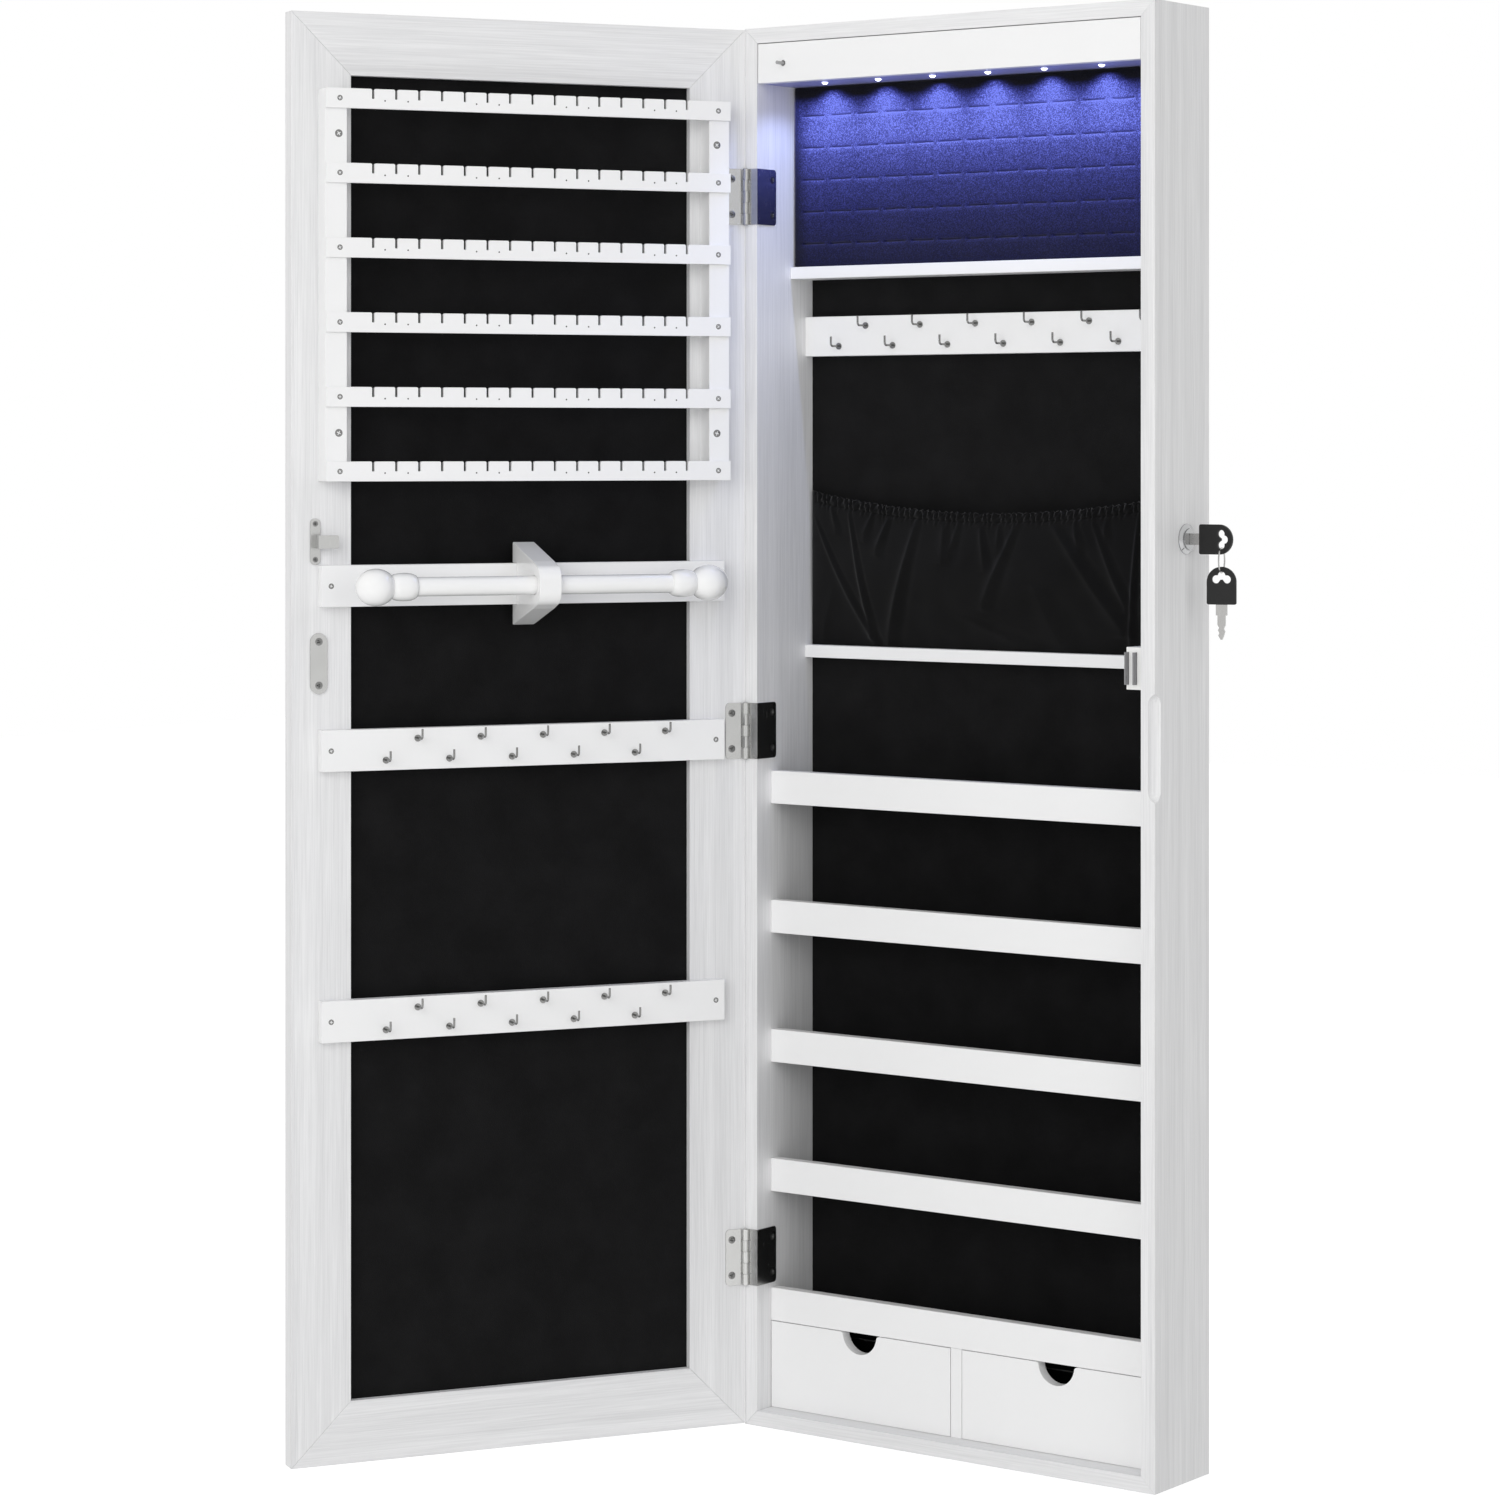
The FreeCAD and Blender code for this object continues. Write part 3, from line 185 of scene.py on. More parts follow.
# %% [markdown]
# Rails, bars and fronts are smooth white lacquer on fibreboard, with a faint orange peel. The
# turned rod and its bracket have a glossier coat, and the catch is moulded white plastic.

# %% White lacquer, gloss lacquer and white plastic
def white(name, colour, rough, peel, grain, coat=0.0):
    """A white coating with a faint ripple of the given grain size."""
    skin = Finish(name, Coat_Weight=coat, Coat_Roughness=0.08)
    ripple = skin.speckle(grain, 2.0)
    cloud = skin.speckle(0.06, 2.0)
    low = tuple(c * 0.955 for c in colour)
    skin.give("Base Color", skin.mix((cloud * 0.7 + ripple * 0.3).kept(0, 1), low, colour))
    skin.give("Roughness", rough + (ripple - 0.5) * 0.1)
    skin.bump(ripple, peel, 0.5)
    return skin.material


lacquer = white("white_lacquer", (0.89,) * 3, 0.38, 0.00004, 0.0022)
gloss_lacquer = white("gloss_white_lacquer", (0.90, 0.90, 0.895), 0.16, 0.00003, 0.004, 0.5)
white_plastic = white("white_plastic", (0.86, 0.86, 0.845), 0.32, 0.00003, 0.0015)
print("white finishes", 3)

# %% [markdown]
# Velvet drinks light, but where its nap leans it turns a shade paler, in soft clouds a few
# centimetres across, and close up each tuft is a speck. A little sheen lifts the edges of folds.

# %% Black velvet
def velvet(name, colour, tuft, spark, sheen):
    """Black velvet with specks of the given size; spark is how far they stand out."""
    skin = Finish(name, Sheen_Weight=sheen, Sheen_Roughness=0.45, Specular_IOR_Level=0.15, Roughness=0.95)
    tufts = skin.speckle(tuft, 1.5)
    nap = skin.speckle(0.035, 3.0)
    tone = ((tufts - 0.35) * spark + (nap - 0.4) * 0.9).kept(0, 1)
    skin.give("Base Color", skin.mix(tone, tuple(c * 0.55 for c in colour), tuple(c * 1.9 for c in colour)))
    skin.bump(tufts, 0.0002, 0.6)
    return skin


velvet_back = velvet("velvet_back", (0.0066, 0.0066, 0.0069), 0.0006, 0.8, 0.09).material
velvet_pocket = velvet("velvet_pocket", (0.0045, 0.0045, 0.0047), 0.0005, 0.7, 0.16).material
print("velvet finishes", 2)

# %% [markdown]
# The six lights graze the front of the ring cushion, and its tufts catch them. That light is painted
# into the cushion's emission as a blue glow in six cones that widen as they fall. Its velvet is
# tinted slightly blue, and that tint is painted light too. The painted glow is worked out from how
# far each point is below the lights, and how far to the side of the nearest one.

# %% Velvet of the ring cushion, with the lights' cones painted on it
cushion_low, cushion_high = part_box("ring_cushion")
lens_low, lens_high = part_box("led_lenses")
led_count, lens_radius = 6, 0.0025
led_pitch = (lens_high.x - lens_low.x - 2 * lens_radius) / (led_count - 1)
pool_shift = 0.009            # the cones stand this far to the left of the lamps

# The velvet's faint blue tint is painted light from the lamps.
cushion_finish = velvet("velvet_cushion", (0.006, 0.006, 0.009), 0.0009, 1.6, 0.1)
xyz = cushion_finish.node("ShaderNodeSeparateXYZ", {}, {0: cushion_finish.place}, "X")
height = Wire(cushion_finish, xyz.socket.node.outputs["Z"])
# The slit attribute scales the painted glow with painted shade in each cut and a painted highlight on its lower
# lip.
slit_painted_light_factor = cushion_finish.node("ShaderNodeAttribute", {"attribute_name": "slit"}, {}, "Fac")
below = (cushion_high.z - height) * 1000.0
nearest = ((xyz + pool_shift) / led_pitch).maths("FRACT") - 0.5
aside = nearest.maths("ABSOLUTE") * (led_pitch * 1000.0)
spread = below * 0.85 + 2.0
cone = ((aside / spread) ** 2.0 * -1.0).maths("EXPONENT")
pool = cone * ((below - 3.0) / 9.0).kept(0, 1) * (below / -23.0).maths("EXPONENT")
wash = (below / -41.0).maths("EXPONENT") * ((below - 8.0) / 30.0).kept(0, 1)
grains = cushion_finish.speckle(0.0008, 2.0, 0.7)
glitter = 0.5 + ((grains - 0.44) * 6.5).kept(0, 3.0)
# This dims the painted glow towards the cushion's two sides, as painted shade.
inside = ((cushion_high.x - xyz.maths("ABSOLUTE")) / 0.016).kept(0.25, 1)
# The glow here is painted light: the lamps' blue cones and wash, set as the cushion's emission.
painted_glow = (pool * 1.8 + wash * 1.05) * glitter * slit_painted_light_factor * inside
hue = cushion_finish.mix((painted_glow * 0.8).kept(0, 1), (0.115, 0.135, 0.92), (0.21, 0.26, 1.0))
cushion_finish.give("Emission Color", cushion_finish.mix(painted_glow.kept(0, 1), 0.0, hue))
cushion_finish.give("Emission Strength", 1.0)
print("light cones every", round(led_pitch * 1000, 1), "mm")

# %% [markdown]
# The hardware is nickel plated steel with fine rolling marks and a few cloudy patches. The lock is
# polished chrome, the keys are plated too, and the cam is dull zinc. All metals share one recipe
# and differ in colour, roughness and mark size. The hook wire and the screw heads are bright nickel
# too, and their far darker colour is painted shade.

# %% Metals
def metal(name, colour, rough, marks, cloud=0.04):
    """Plated metal: fine marks in the roughness and a slow drift in the tint."""
    skin = Finish(name, Metallic=1.0)
    fine = skin.speckle(marks, 3.0, 0.6, ((0, 0, 0), (1, 1, 0.12)))
    slow = skin.speckle(0.012, 2.0)
    skin.give("Base Color", skin.mix(slow, tuple(c * 0.88 for c in colour), colour))
    skin.give("Roughness", rough + (fine - 0.5) * 0.16 + (slow - 0.5) * cloud)
    skin.bump(fine, 0.000012, 0.5)
    return skin.material


nickel = metal("bright_nickel", (0.56, 0.56, 0.55), 0.24, 0.0006)
# Painted shade: the hooks and screw heads are bright nickel, given a far darker colour.
wire_nickel = metal("wire_nickel", (0.26, 0.26, 0.255), 0.2, 0.0006)
screw_nickel = metal("screw_nickel", (0.24, 0.24, 0.235), 0.3, 0.0005)
chrome = metal("polished_chrome", (0.48, 0.485, 0.49), 0.14, 0.0008)
key_metal = metal("key_nickel", (0.50, 0.495, 0.485), 0.22, 0.0005)
zinc = metal("zinc_plate", (0.58, 0.59, 0.6), 0.38, 0.001, 0.1)
magnet_steel = metal("catch_steel", (0.30, 0.30, 0.31), 0.4, 0.0008)
print("metals", 7)

# %% [markdown]
# The mirror is silvered glass: almost perfectly smooth, with the faint wipe marks that any mirror
# carries. The lamps' lenses shine blue-white. The light box's white floor is given a blue-violet
# colour as painted light from its lamps, and the other parts inside the light box are plain plastic,
# circuit board and raw fibreboard.

# %% Mirror, lens, black plastic and the hidden materials
def plain(name, low, high, rough, grain, depth=0.00003, **steady):
    """A mottled finish between two colours, for plastic, card and raw board."""
    skin = Finish(name, **steady)
    mottle = skin.speckle(grain, 3.0)
    skin.give("Base Color", skin.mix(mottle, low, high))
    skin.give("Roughness", rough + (mottle - 0.5) * 0.12)
    skin.bump(mottle, depth, 0.5)
    return skin.material


mirror_finish = Finish("silvered_glass", Metallic=1.0)
wipes = mirror_finish.speckle(0.05, 3.0, 0.6, ((0, 0, 0), (1, 1, 0.4)))
mirror_finish.give("Base Color", mirror_finish.mix(wipes, (0.86, 0.88, 0.88), (0.90, 0.915, 0.915)))
mirror_finish.give("Roughness", 0.012 + wipes * 0.02)
black_plastic = plain("black_plastic", 0.008, 0.015, 0.42, 0.0012, Specular_IOR_Level=0.28)
pin_plastic = plain("pin_plastic", 0.30, 0.40, 0.3, 0.0008)
# The light box's floor is white; this blue-violet colour is painted light from its lamps.
floor_painted_blue_light = plain("lamp_lit_white", (0.26, 0.27, 0.50), (0.32, 0.33, 0.58), 0.45, 0.003)
circuit_green = plain("circuit_green", (0.05, 0.16, 0.08), (0.07, 0.21, 0.11), 0.4, 0.002)
raw_board = plain("raw_fibreboard", (0.42, 0.33, 0.23), (0.55, 0.45, 0.33), 0.8, 0.0012, 0.00008)
lens_finish = Finish("led_lens", Roughness=0.1, Emission_Strength=5.0)
lens_shade = lens_finish.speckle(0.002, 1.0)
lens_finish.give("Base Color", lens_finish.mix(lens_shade, (0.80, 0.84, 1.0), (0.90, 0.92, 1.0)))
lens_finish.give("Emission Color", lens_finish.mix(lens_shade, (0.62, 0.66, 1.0), (0.82, 0.85, 1.0)))
lens = lens_finish.material
mirror = mirror_finish.material
print("other finishes", 7)

# %% [markdown]
# No real board has a knife edge. Each board, bar and plate is copied from its CAD piece, its loose
# triangles are merged, and its corners are eased by a fraction of a millimetre, so edges catch a
# line of light and the mitres show as hairlines. The copy stands in for the CAD piece.

# %% Ease the edges of rigid pieces
record = frame["record"]
body_of = {node: body for body, members in record["behaviour"]["bodies"].items() for node in members}


def linked(name, data):
    """A new object in the scene that shows a mesh, curve, lamp or camera."""
    made = bpy.data.objects.new(name, data)
    bpy.context.scene.collection.objects.link(made)
    return made


def mesh_of(name, points, faces):
    """A mesh from its points and faces."""
    mesh = bpy.data.meshes.new(name)
    mesh.from_pydata(points, [], faces)
    return mesh


def keep_mesh(name, mesh, material, body, stands_for=()):
    """Link a finished mesh as a piece that rides on a body."""
    piece = linked(name, mesh)
    mesh.materials.clear()
    mesh.materials.append(material)
    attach(piece, body)
    if stands_for:
        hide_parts(*stands_for)
    return piece


smooth_below, bevel_above, flat_below = 34, 28, 0.6      # degrees between faces
same_point = 2e-6                                        # metres


def merged(mesh, near=same_point):
    """An open bmesh of a mesh, with points that coincide made one."""
    work = bmesh.new()
    work.from_mesh(mesh)
    bmesh.ops.remove_doubles(work, verts=work.verts, dist=near)
    return work


def poured(work, mesh):
    """The mesh, with the bmesh written into it."""
    work.to_mesh(mesh)
    work.free()
    return mesh


def settled(piece):
    """The piece's mesh with its modifiers worked in."""
    mesh = bpy.data.meshes.new_from_object(piece.evaluated_get(bpy.context.evaluated_depsgraph_get()))
    bpy.data.objects.remove(piece)
    return mesh


def smoothed(mesh, angle=smooth_below):
    """Smooth shading that keeps edges sharper than the angle."""
    mesh.shade_smooth()
    mesh.set_sharp_from_angle(angle=math.radians(angle))
    return mesh


def hardened(mesh, angle=smooth_below):
    """Smooth shading whose normals follow the larger faces, so flat faces stay flat."""
    carrier = linked("carrier", smoothed(mesh, angle))
    flats = carrier.modifiers.new("flats", "WEIGHTED_NORMAL")
    flats.keep_sharp = True
    return settled(carrier)


def eased(node, width_mm, material, name):
    """A copy of a CAD piece with merged points and eased edges, standing in for it."""
    work = merged(nodes[node].data)
    bmesh.ops.dissolve_limit(work, angle_limit=math.radians(flat_below), verts=work.verts, edges=work.edges)
    mesh = poured(work, nodes[node].data.copy())
    for data in list(mesh.attributes):
        if data.name in ("custom_normal", "sharp_edge", "sharp_face"):
            mesh.attributes.remove(data)
    carrier = linked("carrier", mesh)
    if width_mm:
        edge = carrier.modifiers.new("edge", "BEVEL")
        edge.width, edge.segments, edge.limit_method = width_mm / 1000, 2, "ANGLE"
        edge.angle_limit, edge.use_clamp_overlap = math.radians(bevel_above), True
    return keep_mesh(name, hardened(settled(carrier)), material, body_of[node], (node,))


edges = {
    "side_panel_left": (0.4, foil_upright, "left_board"),
    "side_panel_right": (0.4, foil_upright, "right_board"),
    "top_panel": (0.4, foil_case_across, "top_board"),
    "bottom_panel": (0.4, foil_case_across, "bottom_board"),
    "stile_hinge_side": (0.4, foil_upright, "door_stile_hinge_side"),
    "stile_lock_side": (0.4, foil_upright, "door_stile_lock_side"),
    "door_rail_top": (0.4, foil_door_across, "door_top_rail"),
    "door_rail_bottom": (0.4, foil_door_across, "door_bottom_rail"),
    "light_fascia": (0.6, lacquer, "light_box_fascia"),
    "ring_shelf": (0.5, lacquer, "ring_shelf_board"),
    "necklace_hook_board": (0.5, lacquer, "necklace_board"),
    "pocket_batten": (0.4, lacquer, "pocket_foot_batten"),
    "shelf_rails": (0.5, lacquer, "shelf_front_rails"),
    "drawer_divider": (0.3, lacquer, "divider_board"),
    "earring_rails": (0.4, lacquer, "earring_stand_offs"),
    "earring_bars": (0.25, lacquer, "earring_slotted_bars"),
    "bracelet_board": (0.5, lacquer, "bracelet_back_board"),
    "door_hook_boards": (0.5, lacquer, "door_hook_rails"),
    "bracelet_bracket": (0.9, gloss_lacquer, "bracelet_nose_bracket"),
    "catch_body": (0.4, white_plastic, "catch_housing"),
    "hinge_case_leaves": (0.12, nickel, "case_hinge_leaves"),
    "hinge_door_leaves": (0.12, nickel, "door_hinge_leaves"),
    "hinge_pins": (0.0, nickel, "hinge_pin_rods"),
    "lock_strike": (0.15, nickel, "lock_strike_plate"),
    "catch_strike": (0.2, nickel, "catch_plate"),
    "lock_body": (0.25, chrome, "lock_barrel_and_bezel"),
    "lock_plug": (0.15, chrome, "lock_turning_plug"),
    "lock_nut": (0.3, chrome, "lock_back_nut"),
    "key_blade": (0.12, key_metal, "key_steel_blade"),
    "spare_key_blade": (0.12, key_metal, "spare_key_steel_blade"),
    "keyhole_hangers": (0.15, zinc, "wall_keyhole_plates"),
}
fascia_gap, fascia_edge = 0.0006, 0.001     # the dark line round the light box's front
fascia_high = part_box("light_fascia")[1]
for node, (width, material, name) in edges.items():
    eased(node, width, material, name)
for vert in bpy.data.objects["light_box_fascia"].data.vertices:
    if vert.co.z > fascia_high.z - fascia_edge:
        vert.co.z -= fascia_gap
    if abs(vert.co.x) > fascia_high.x - fascia_edge:
        vert.co.x -= math.copysign(fascia_gap, vert.co.x)
print("pieces with eased edges", len(edges))

# %% [markdown]
# The other CAD pieces already have the right shape, so they only get their finish.

# %% Finishes for the CAD pieces that stay
stays = {
    "back_board": foil_upright, "back_lining": velvet_back, "hanging_rail": raw_board,
    "light_box_floor": floor_painted_blue_light, "led_board": circuit_green, "battery_pack": black_plastic,
    "switch_body": black_plastic, "shelf_boards": velvet_back, "catch_magnet": magnet_steel,
    "mirror_glass": mirror, "door_lining": velvet_back, "drawer_left": lacquer, "drawer_right": lacquer,
    "drawer_left_lining": velvet_back, "drawer_right_lining": velvet_back, "lock_cam": zinc,
    "key_ring": key_metal, "switch_plunger": pin_plastic, "led_lenses": lens,
}
for node, material in stays.items():
    nodes[node].data.materials.clear()
    nodes[node].data.materials.append(material)
print("CAD pieces kept", len(stays))

# %% [markdown]
# What hangs on the door is easiest to draw with the door closed, where across is X and out of the
# door is Y. `on_open_door` turns such a point about the hinge pins to where it is at rest.

# %% From the closed door to the open door
hinge = next(j for j in frame["joints"] if j["name"] == "door_hinge")
pin = Vector((hinge["pos_m"][0], hinge["pos_m"][1], 0))
swing = Matrix.Translation(pin) @ Matrix.Rotation(-door_angle, 4, "Z") @ Matrix.Translation(-pin)
unswing = swing.inverted()


def closed_box(node):
    """Lowest and highest corners of a door piece as they are with the door closed."""
    points = [unswing @ v.co for v in nodes[node].data.vertices]
    return [Vector([pick(p[k] for p in points) for k in range(3)]) for pick in (min, max)]


def on_open_door(vector):
    return swing @ Vector(vector)


print("hinge pins at", [round(v * 1000, 1) for v in pin])

# %% [markdown]
# The rod for bracelets is a turned dowel with a ball and a barrel-shaped collar at each end. Its
# profile is written as radii along the axis and spun.

# %% Turn the bracelet rod and its ends
def lathed(profile, centre, along, around):
    """A closed turned mesh from (along, radius) in metres."""
    side = along.orthogonal().normalized()
    other = along.cross(side)
    points, faces = [], []
    for step, radius in profile:
        for k in range(around):
            turn = 2 * math.pi * k / around
            points.append(centre + along * step + (side * math.cos(turn) + other * math.sin(turn)) * radius)
    for ring in range(len(profile) - 1):
        for k in range(around):
            n = (k + 1) % around
            a, b = ring * around, (ring + 1) * around
            faces.append((a + k, a + n, b + n, b + k))
    faces.append(tuple(reversed(range(around))))
    faces.append(tuple(range((len(profile) - 1) * around, len(profile) * around)))
    return mesh_of("turned", points, faces)


def joined(meshes):
    """Several meshes in one, with normals that point outwards."""
    work = bmesh.new()
    for mesh in meshes:
        work.from_mesh(mesh)
    bmesh.ops.recalc_face_normals(work, faces=work.faces)
    return poured(work, bpy.data.meshes.new("joined"))


rod_low, rod_high = closed_box("bracelet_rod")
knob_low, knob_high = closed_box("bracelet_knobs")
rod_radius = (rod_high.z - rod_low.z) / 2
axis_point = Vector(((knob_low.x + knob_high.x) / 2, (rod_low.y + rod_high.y) / 2,
                     (rod_low.z + rod_high.z) / 2))
ball_radius, ball_half = 0.014, 0.0155
ball_centre = (knob_high.x - knob_low.x) / 2 - ball_half
neck, collar_length, collar_radius = 0.0004, 0.0195, 0.0106
collar_swell = ((0, 0.80), (0.03, 0.86), (0.1, 0.915), (0.22, 0.965), (0.36, 0.992), (0.5, 1.0),
                (0.64, 0.992), (0.78, 0.955), (0.9, 0.885), (0.97, 0.81), (1, 0.70))


def on_rod(profile, side, around):
    """Turn a profile on the rod's axis, towards its right end if side is 1 and its left if -1."""
    along = (on_open_door(axis_point + Vector((side, 0, 0))) - on_open_door(axis_point)).normalized()
    return lathed(profile, on_open_door(axis_point), along, around)


turns = [math.radians(0.5 + k * 8.2) for k in range(18)]
end = [(ball_centre + ball_half * math.cos(turn), ball_radius * math.sin(turn)) for turn in turns]
collar_start = end[-1][0] - neck
end += [(collar_start - share * collar_length, collar_radius * swell) for share, swell in collar_swell]
keep_mesh("bracelet_end_balls", smoothed(joined([on_rod(end, 1, 64), on_rod(end, -1, 64)]), 50),
          gloss_lacquer, "door", ("bracelet_knobs",))
half = ball_centre - 0.010
keep_mesh("bracelet_dowel", smoothed(joined([on_rod([(-half, rod_radius), (half, rod_radius)], 1, 48)])),
          gloss_lacquer, "door", ("bracelet_rod",))
print("rod radius", round(rod_radius * 1000, 2), "mm, balls", round(ball_radius * 2000, 1), "mm")

# %% [markdown]
# A key's grip is moulded over the steel in black plastic, with a rounded end and a window of three
# lobes, one of which takes the ring. It is drawn flat as a curve with its window, given its
# thickness and rounded at the rim, then turned to where the key is.

# %% Mould the key grips
grip_length, grip_width, grip_thick, grip_rim = 0.028, 0.0223, 0.0028, 0.0005
lobes = [(0.0066, 0.0, 0.003), (0.0093, -0.0041, 0.003), (0.0093, 0.0041, 0.003)]


def grip_outline():
    """The flat outline of the grip, from its square end round its round end."""
    half, corner = grip_width / 2, 0.0015
    points = [(corner * (1 - math.cos(t)), -half + corner * (1 - math.sin(t)))
              for t in np.linspace(0, math.pi / 2, 6)]
    points += [(grip_length - half + half * math.sin(t), -half * math.cos(t))
               for t in np.linspace(0, math.pi, 40)]
    return points + [(x, -y) for x, y in reversed(points[:6])]


def window_outline(steps=72):
    """The rim of the three lobes together, seen from the middle between them."""
    middle = (grip_length - 0.0084, 0.0)
    points = []
    for k in range(steps):
        turn = 2 * math.pi * k / steps
        ray, reach = (math.cos(turn), math.sin(turn)), 0.0
        for down, side, radius in lobes:
            away = (grip_length - down - middle[0], side - middle[1])
            along = away[0] * ray[0] + away[1] * ray[1]
            off = radius ** 2 - (away[0] ** 2 + away[1] ** 2 - along ** 2)
            if off > 0:
                reach = max(reach, along + math.sqrt(off))
        points.append((middle[0] + ray[0] * reach, middle[1] + ray[1] * reach))
    return points


def grip_mesh(along, across, base):
    """The moulded grip, with its flat end's middle at base."""
    flat = bpy.data.curves.new("grip", "CURVE")
    flat.dimensions, flat.fill_mode = "2D", "BOTH"
    flat.extrude, flat.bevel_depth = grip_thick / 2 - grip_rim, grip_rim
    flat.offset, flat.bevel_resolution = -grip_rim, 2
    for points in (grip_outline(), window_outline()):
        spline = flat.splines.new("POLY")
        spline.points.add(len(points) - 1)
        spline.points.foreach_set("co", [v for x, y in points for v in (x, y, 0, 1)])
        spline.use_cyclic_u = True
    mesh = settled(linked("grip", flat))
    turn = Matrix((along, across, along.cross(across))).transposed().to_4x4()
    mesh.transform(Matrix.Translation(base) @ turn)
    return joined([poured(merged(mesh, 1e-6), mesh)])


ring_turn = math.radians(16)
for key, along, across in (("key", (1, 0, 0), (0, 0, 1)),
                           ("spare_key", (0, 0, 1), (math.cos(ring_turn), math.sin(ring_turn), 0))):
    low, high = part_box(key + "_head")
    base = Vector([l if flat_end else (l + h) / 2 for l, h, flat_end in zip(low, high, along)])
    mesh = hardened(grip_mesh(Vector(along), Vector(across), base), 40)
    keep_mesh(key + "_grip", mesh, black_plastic, key, (key + "_head",))
    print(key, "grip with", len(mesh.polygons), "faces")

# %% [markdown]
# The ring cushion is a slab of foam under velvet, cut by five rows of short slits that grip the
# rings. Foam bulges a little between its cuts, and the lips of each cut roll inwards. The face is
# a grid whose lines crowd round the slits, and each point is pushed in by how close it is to one.
# Each point also keeps a factor for the painted shade in its cut and the painted highlight on the lip
# below, and that factor scales the cushion's painted glow.

# %% Foam cushion with its slits
slit_rows, slit_cols = 5, 13
slit_pitch_x, slit_pitch_z, slit_first = 0.026, 0.0254, 0.0185
slit_half = 0.0098


def grid_lines(low, high, marks, fine, coarse):
    """Sorted grid lines: offsets in fine round every mark, and the rest filled at a coarse step."""
    lines = {low, high}
    for mark in marks:
        lines.update(mark + step for step in fine if low < mark + step < high)
    lines = sorted(lines)
    filled = [lines[0]]
    for line in lines[1:]:
        parts = max(1, math.ceil((line - filled[-1]) / coarse))
        start = filled[-1]
        filled += [start + (line - start) * (k + 1) / parts for k in range(parts)]
    return filled


def grid_faces(across, up):
    """The faces of a grid whose points run up column after column."""
    n = up + 1
    return [(i * n + k, (i + 1) * n + k, (i + 1) * n + k + 1, i * n + k + 1)
            for i in range(across) for k in range(up)]


def hill(away, width):
    """A bell curve: 1 in the middle, falling off over the width."""
    return math.exp(-((away / width) ** 2))


def cushion_depth(x, z):
    """How far the face is pushed in at a point, from the slits and the foam's swell, with a factor of painted
    shade and painted highlight.
    """
    row = min(max(round((z - cushion_low.z - slit_first) / slit_pitch_z), 0), slit_rows - 1)
    line = cushion_low.z + slit_first + row * slit_pitch_z
    col = min(max(round(x / slit_pitch_x), -(slit_cols // 2)), slit_cols // 2)
    wobble = 0.0004 * noise.noise(Vector((x * 90, row * 7.3, 0)))
    gap_z = abs(z - line - wobble)
    past_end = max(0.0, abs(x - col * slit_pitch_x) - slit_half)
    in_slit = max(0.0, 1 - past_end / 0.0009)
    cut = hill(gap_z, 0.00055) * in_slit
    lip = hill(gap_z, 0.0024) * hill(past_end, 0.003)
    swell = 0.0007 * math.cos(math.pi * min(1.0, gap_z / slit_pitch_z * 2)) - 0.0004
    soft = 0.0003 * noise.noise(Vector((x * 40, z * 40, 3)))
    # The tone is painted light: painted shade in the cut, and a painted highlight on the lip just below it.
    tone = 1 - 0.7 * hill(gap_z, 0.0008) * in_slit
    tone += 1.3 * hill(line + wobble - z - 0.0015, 0.0008) * max(0.0, 1 - past_end / 0.002)
    return 0.0055 * cut + 0.0008 * lip + swell * 0.5 + soft, tone


def cushion_mesh():
    """The whole closed cushion: face, rolled edges, sides and flat back."""
    roll, edge, coarse = 0.004, (0.0003, 0.0010, 0.0022), 0.0035
    cols = [(k - (slit_cols - 1) / 2) * slit_pitch_x for k in range(slit_cols)]
    rows = [cushion_low.z + slit_first + k * slit_pitch_z for k in range(slit_rows)]
    fine_x = [s * (slit_half + e) for s in (-1, 1) for e in (-0.0006, 0.0, 0.0009, 0.003)]
    fine_z = [s * e for s in (-1, 1) for e in (0.00001, 0.0003, 0.0007, 0.0013, 0.0024, 0.0045)]

    def lines_across(low, high, marks, fine):
        inner = grid_lines(low + roll, high - roll, marks, fine, coarse)
        return [low] * 2 + [low + e for e in edge] + inner + [high - e for e in reversed(edge)] + [high] * 2

    xs = lines_across(cushion_low.x, cushion_high.x, cols, fine_x)
    zs = lines_across(cushion_low.z, cushion_high.z, rows, fine_z)

    def drop(inset, last):
        if last:
            return cushion_high.y - cushion_low.y
        return roll - math.sqrt(max(0.0, roll ** 2 - max(0.0, roll - inset) ** 2))

    points, slit_painted_light = [], []
    for i, x in enumerate(xs):
        for k, z in enumerate(zs):
            in_x = min(x - cushion_low.x, cushion_high.x - x)
            in_z = min(z - cushion_low.z, cushion_high.z - z)
            dx, dz = drop(in_x, i in (0, len(xs) - 1)), drop(in_z, k in (0, len(zs) - 1))
            depth, tone = cushion_depth(x, z)
            push = depth * min(1.0, max(0.0, min(in_x, in_z) / 0.006)) if dx < 0.02 and dz < 0.02 else 0
            back = min(max(dx, dz), cushion_high.y - cushion_low.y - 0.0002)
            points.append((x, cushion_low.y + 0.0002 + back + max(push, 0), z))
            slit_painted_light.append(tone)
    n = len(zs)
    faces = grid_faces(len(xs) - 1, n - 1)
    rim = [i * n for i in range(len(xs))] + [(len(xs) - 1) * n + k for k in range(1, n)]
    rim += [i * n + n - 1 for i in reversed(range(len(xs) - 1))] + list(range(n - 2, 0, -1))
    faces.append(tuple(rim))
    mesh = mesh_of("ring_cushion_foam", points, faces)
    mesh.attributes.new("slit", "FLOAT", "POINT").data.foreach_set("value", slit_painted_light)
    return mesh


cushion = keep_mesh("ring_cushion_velvet", smoothed(joined([cushion_mesh()]), 60),
                    cushion_finish.material, "case", ("ring_cushion",))
print("cushion faces", len(cushion.data.polygons), "slits", slit_rows * slit_cols)

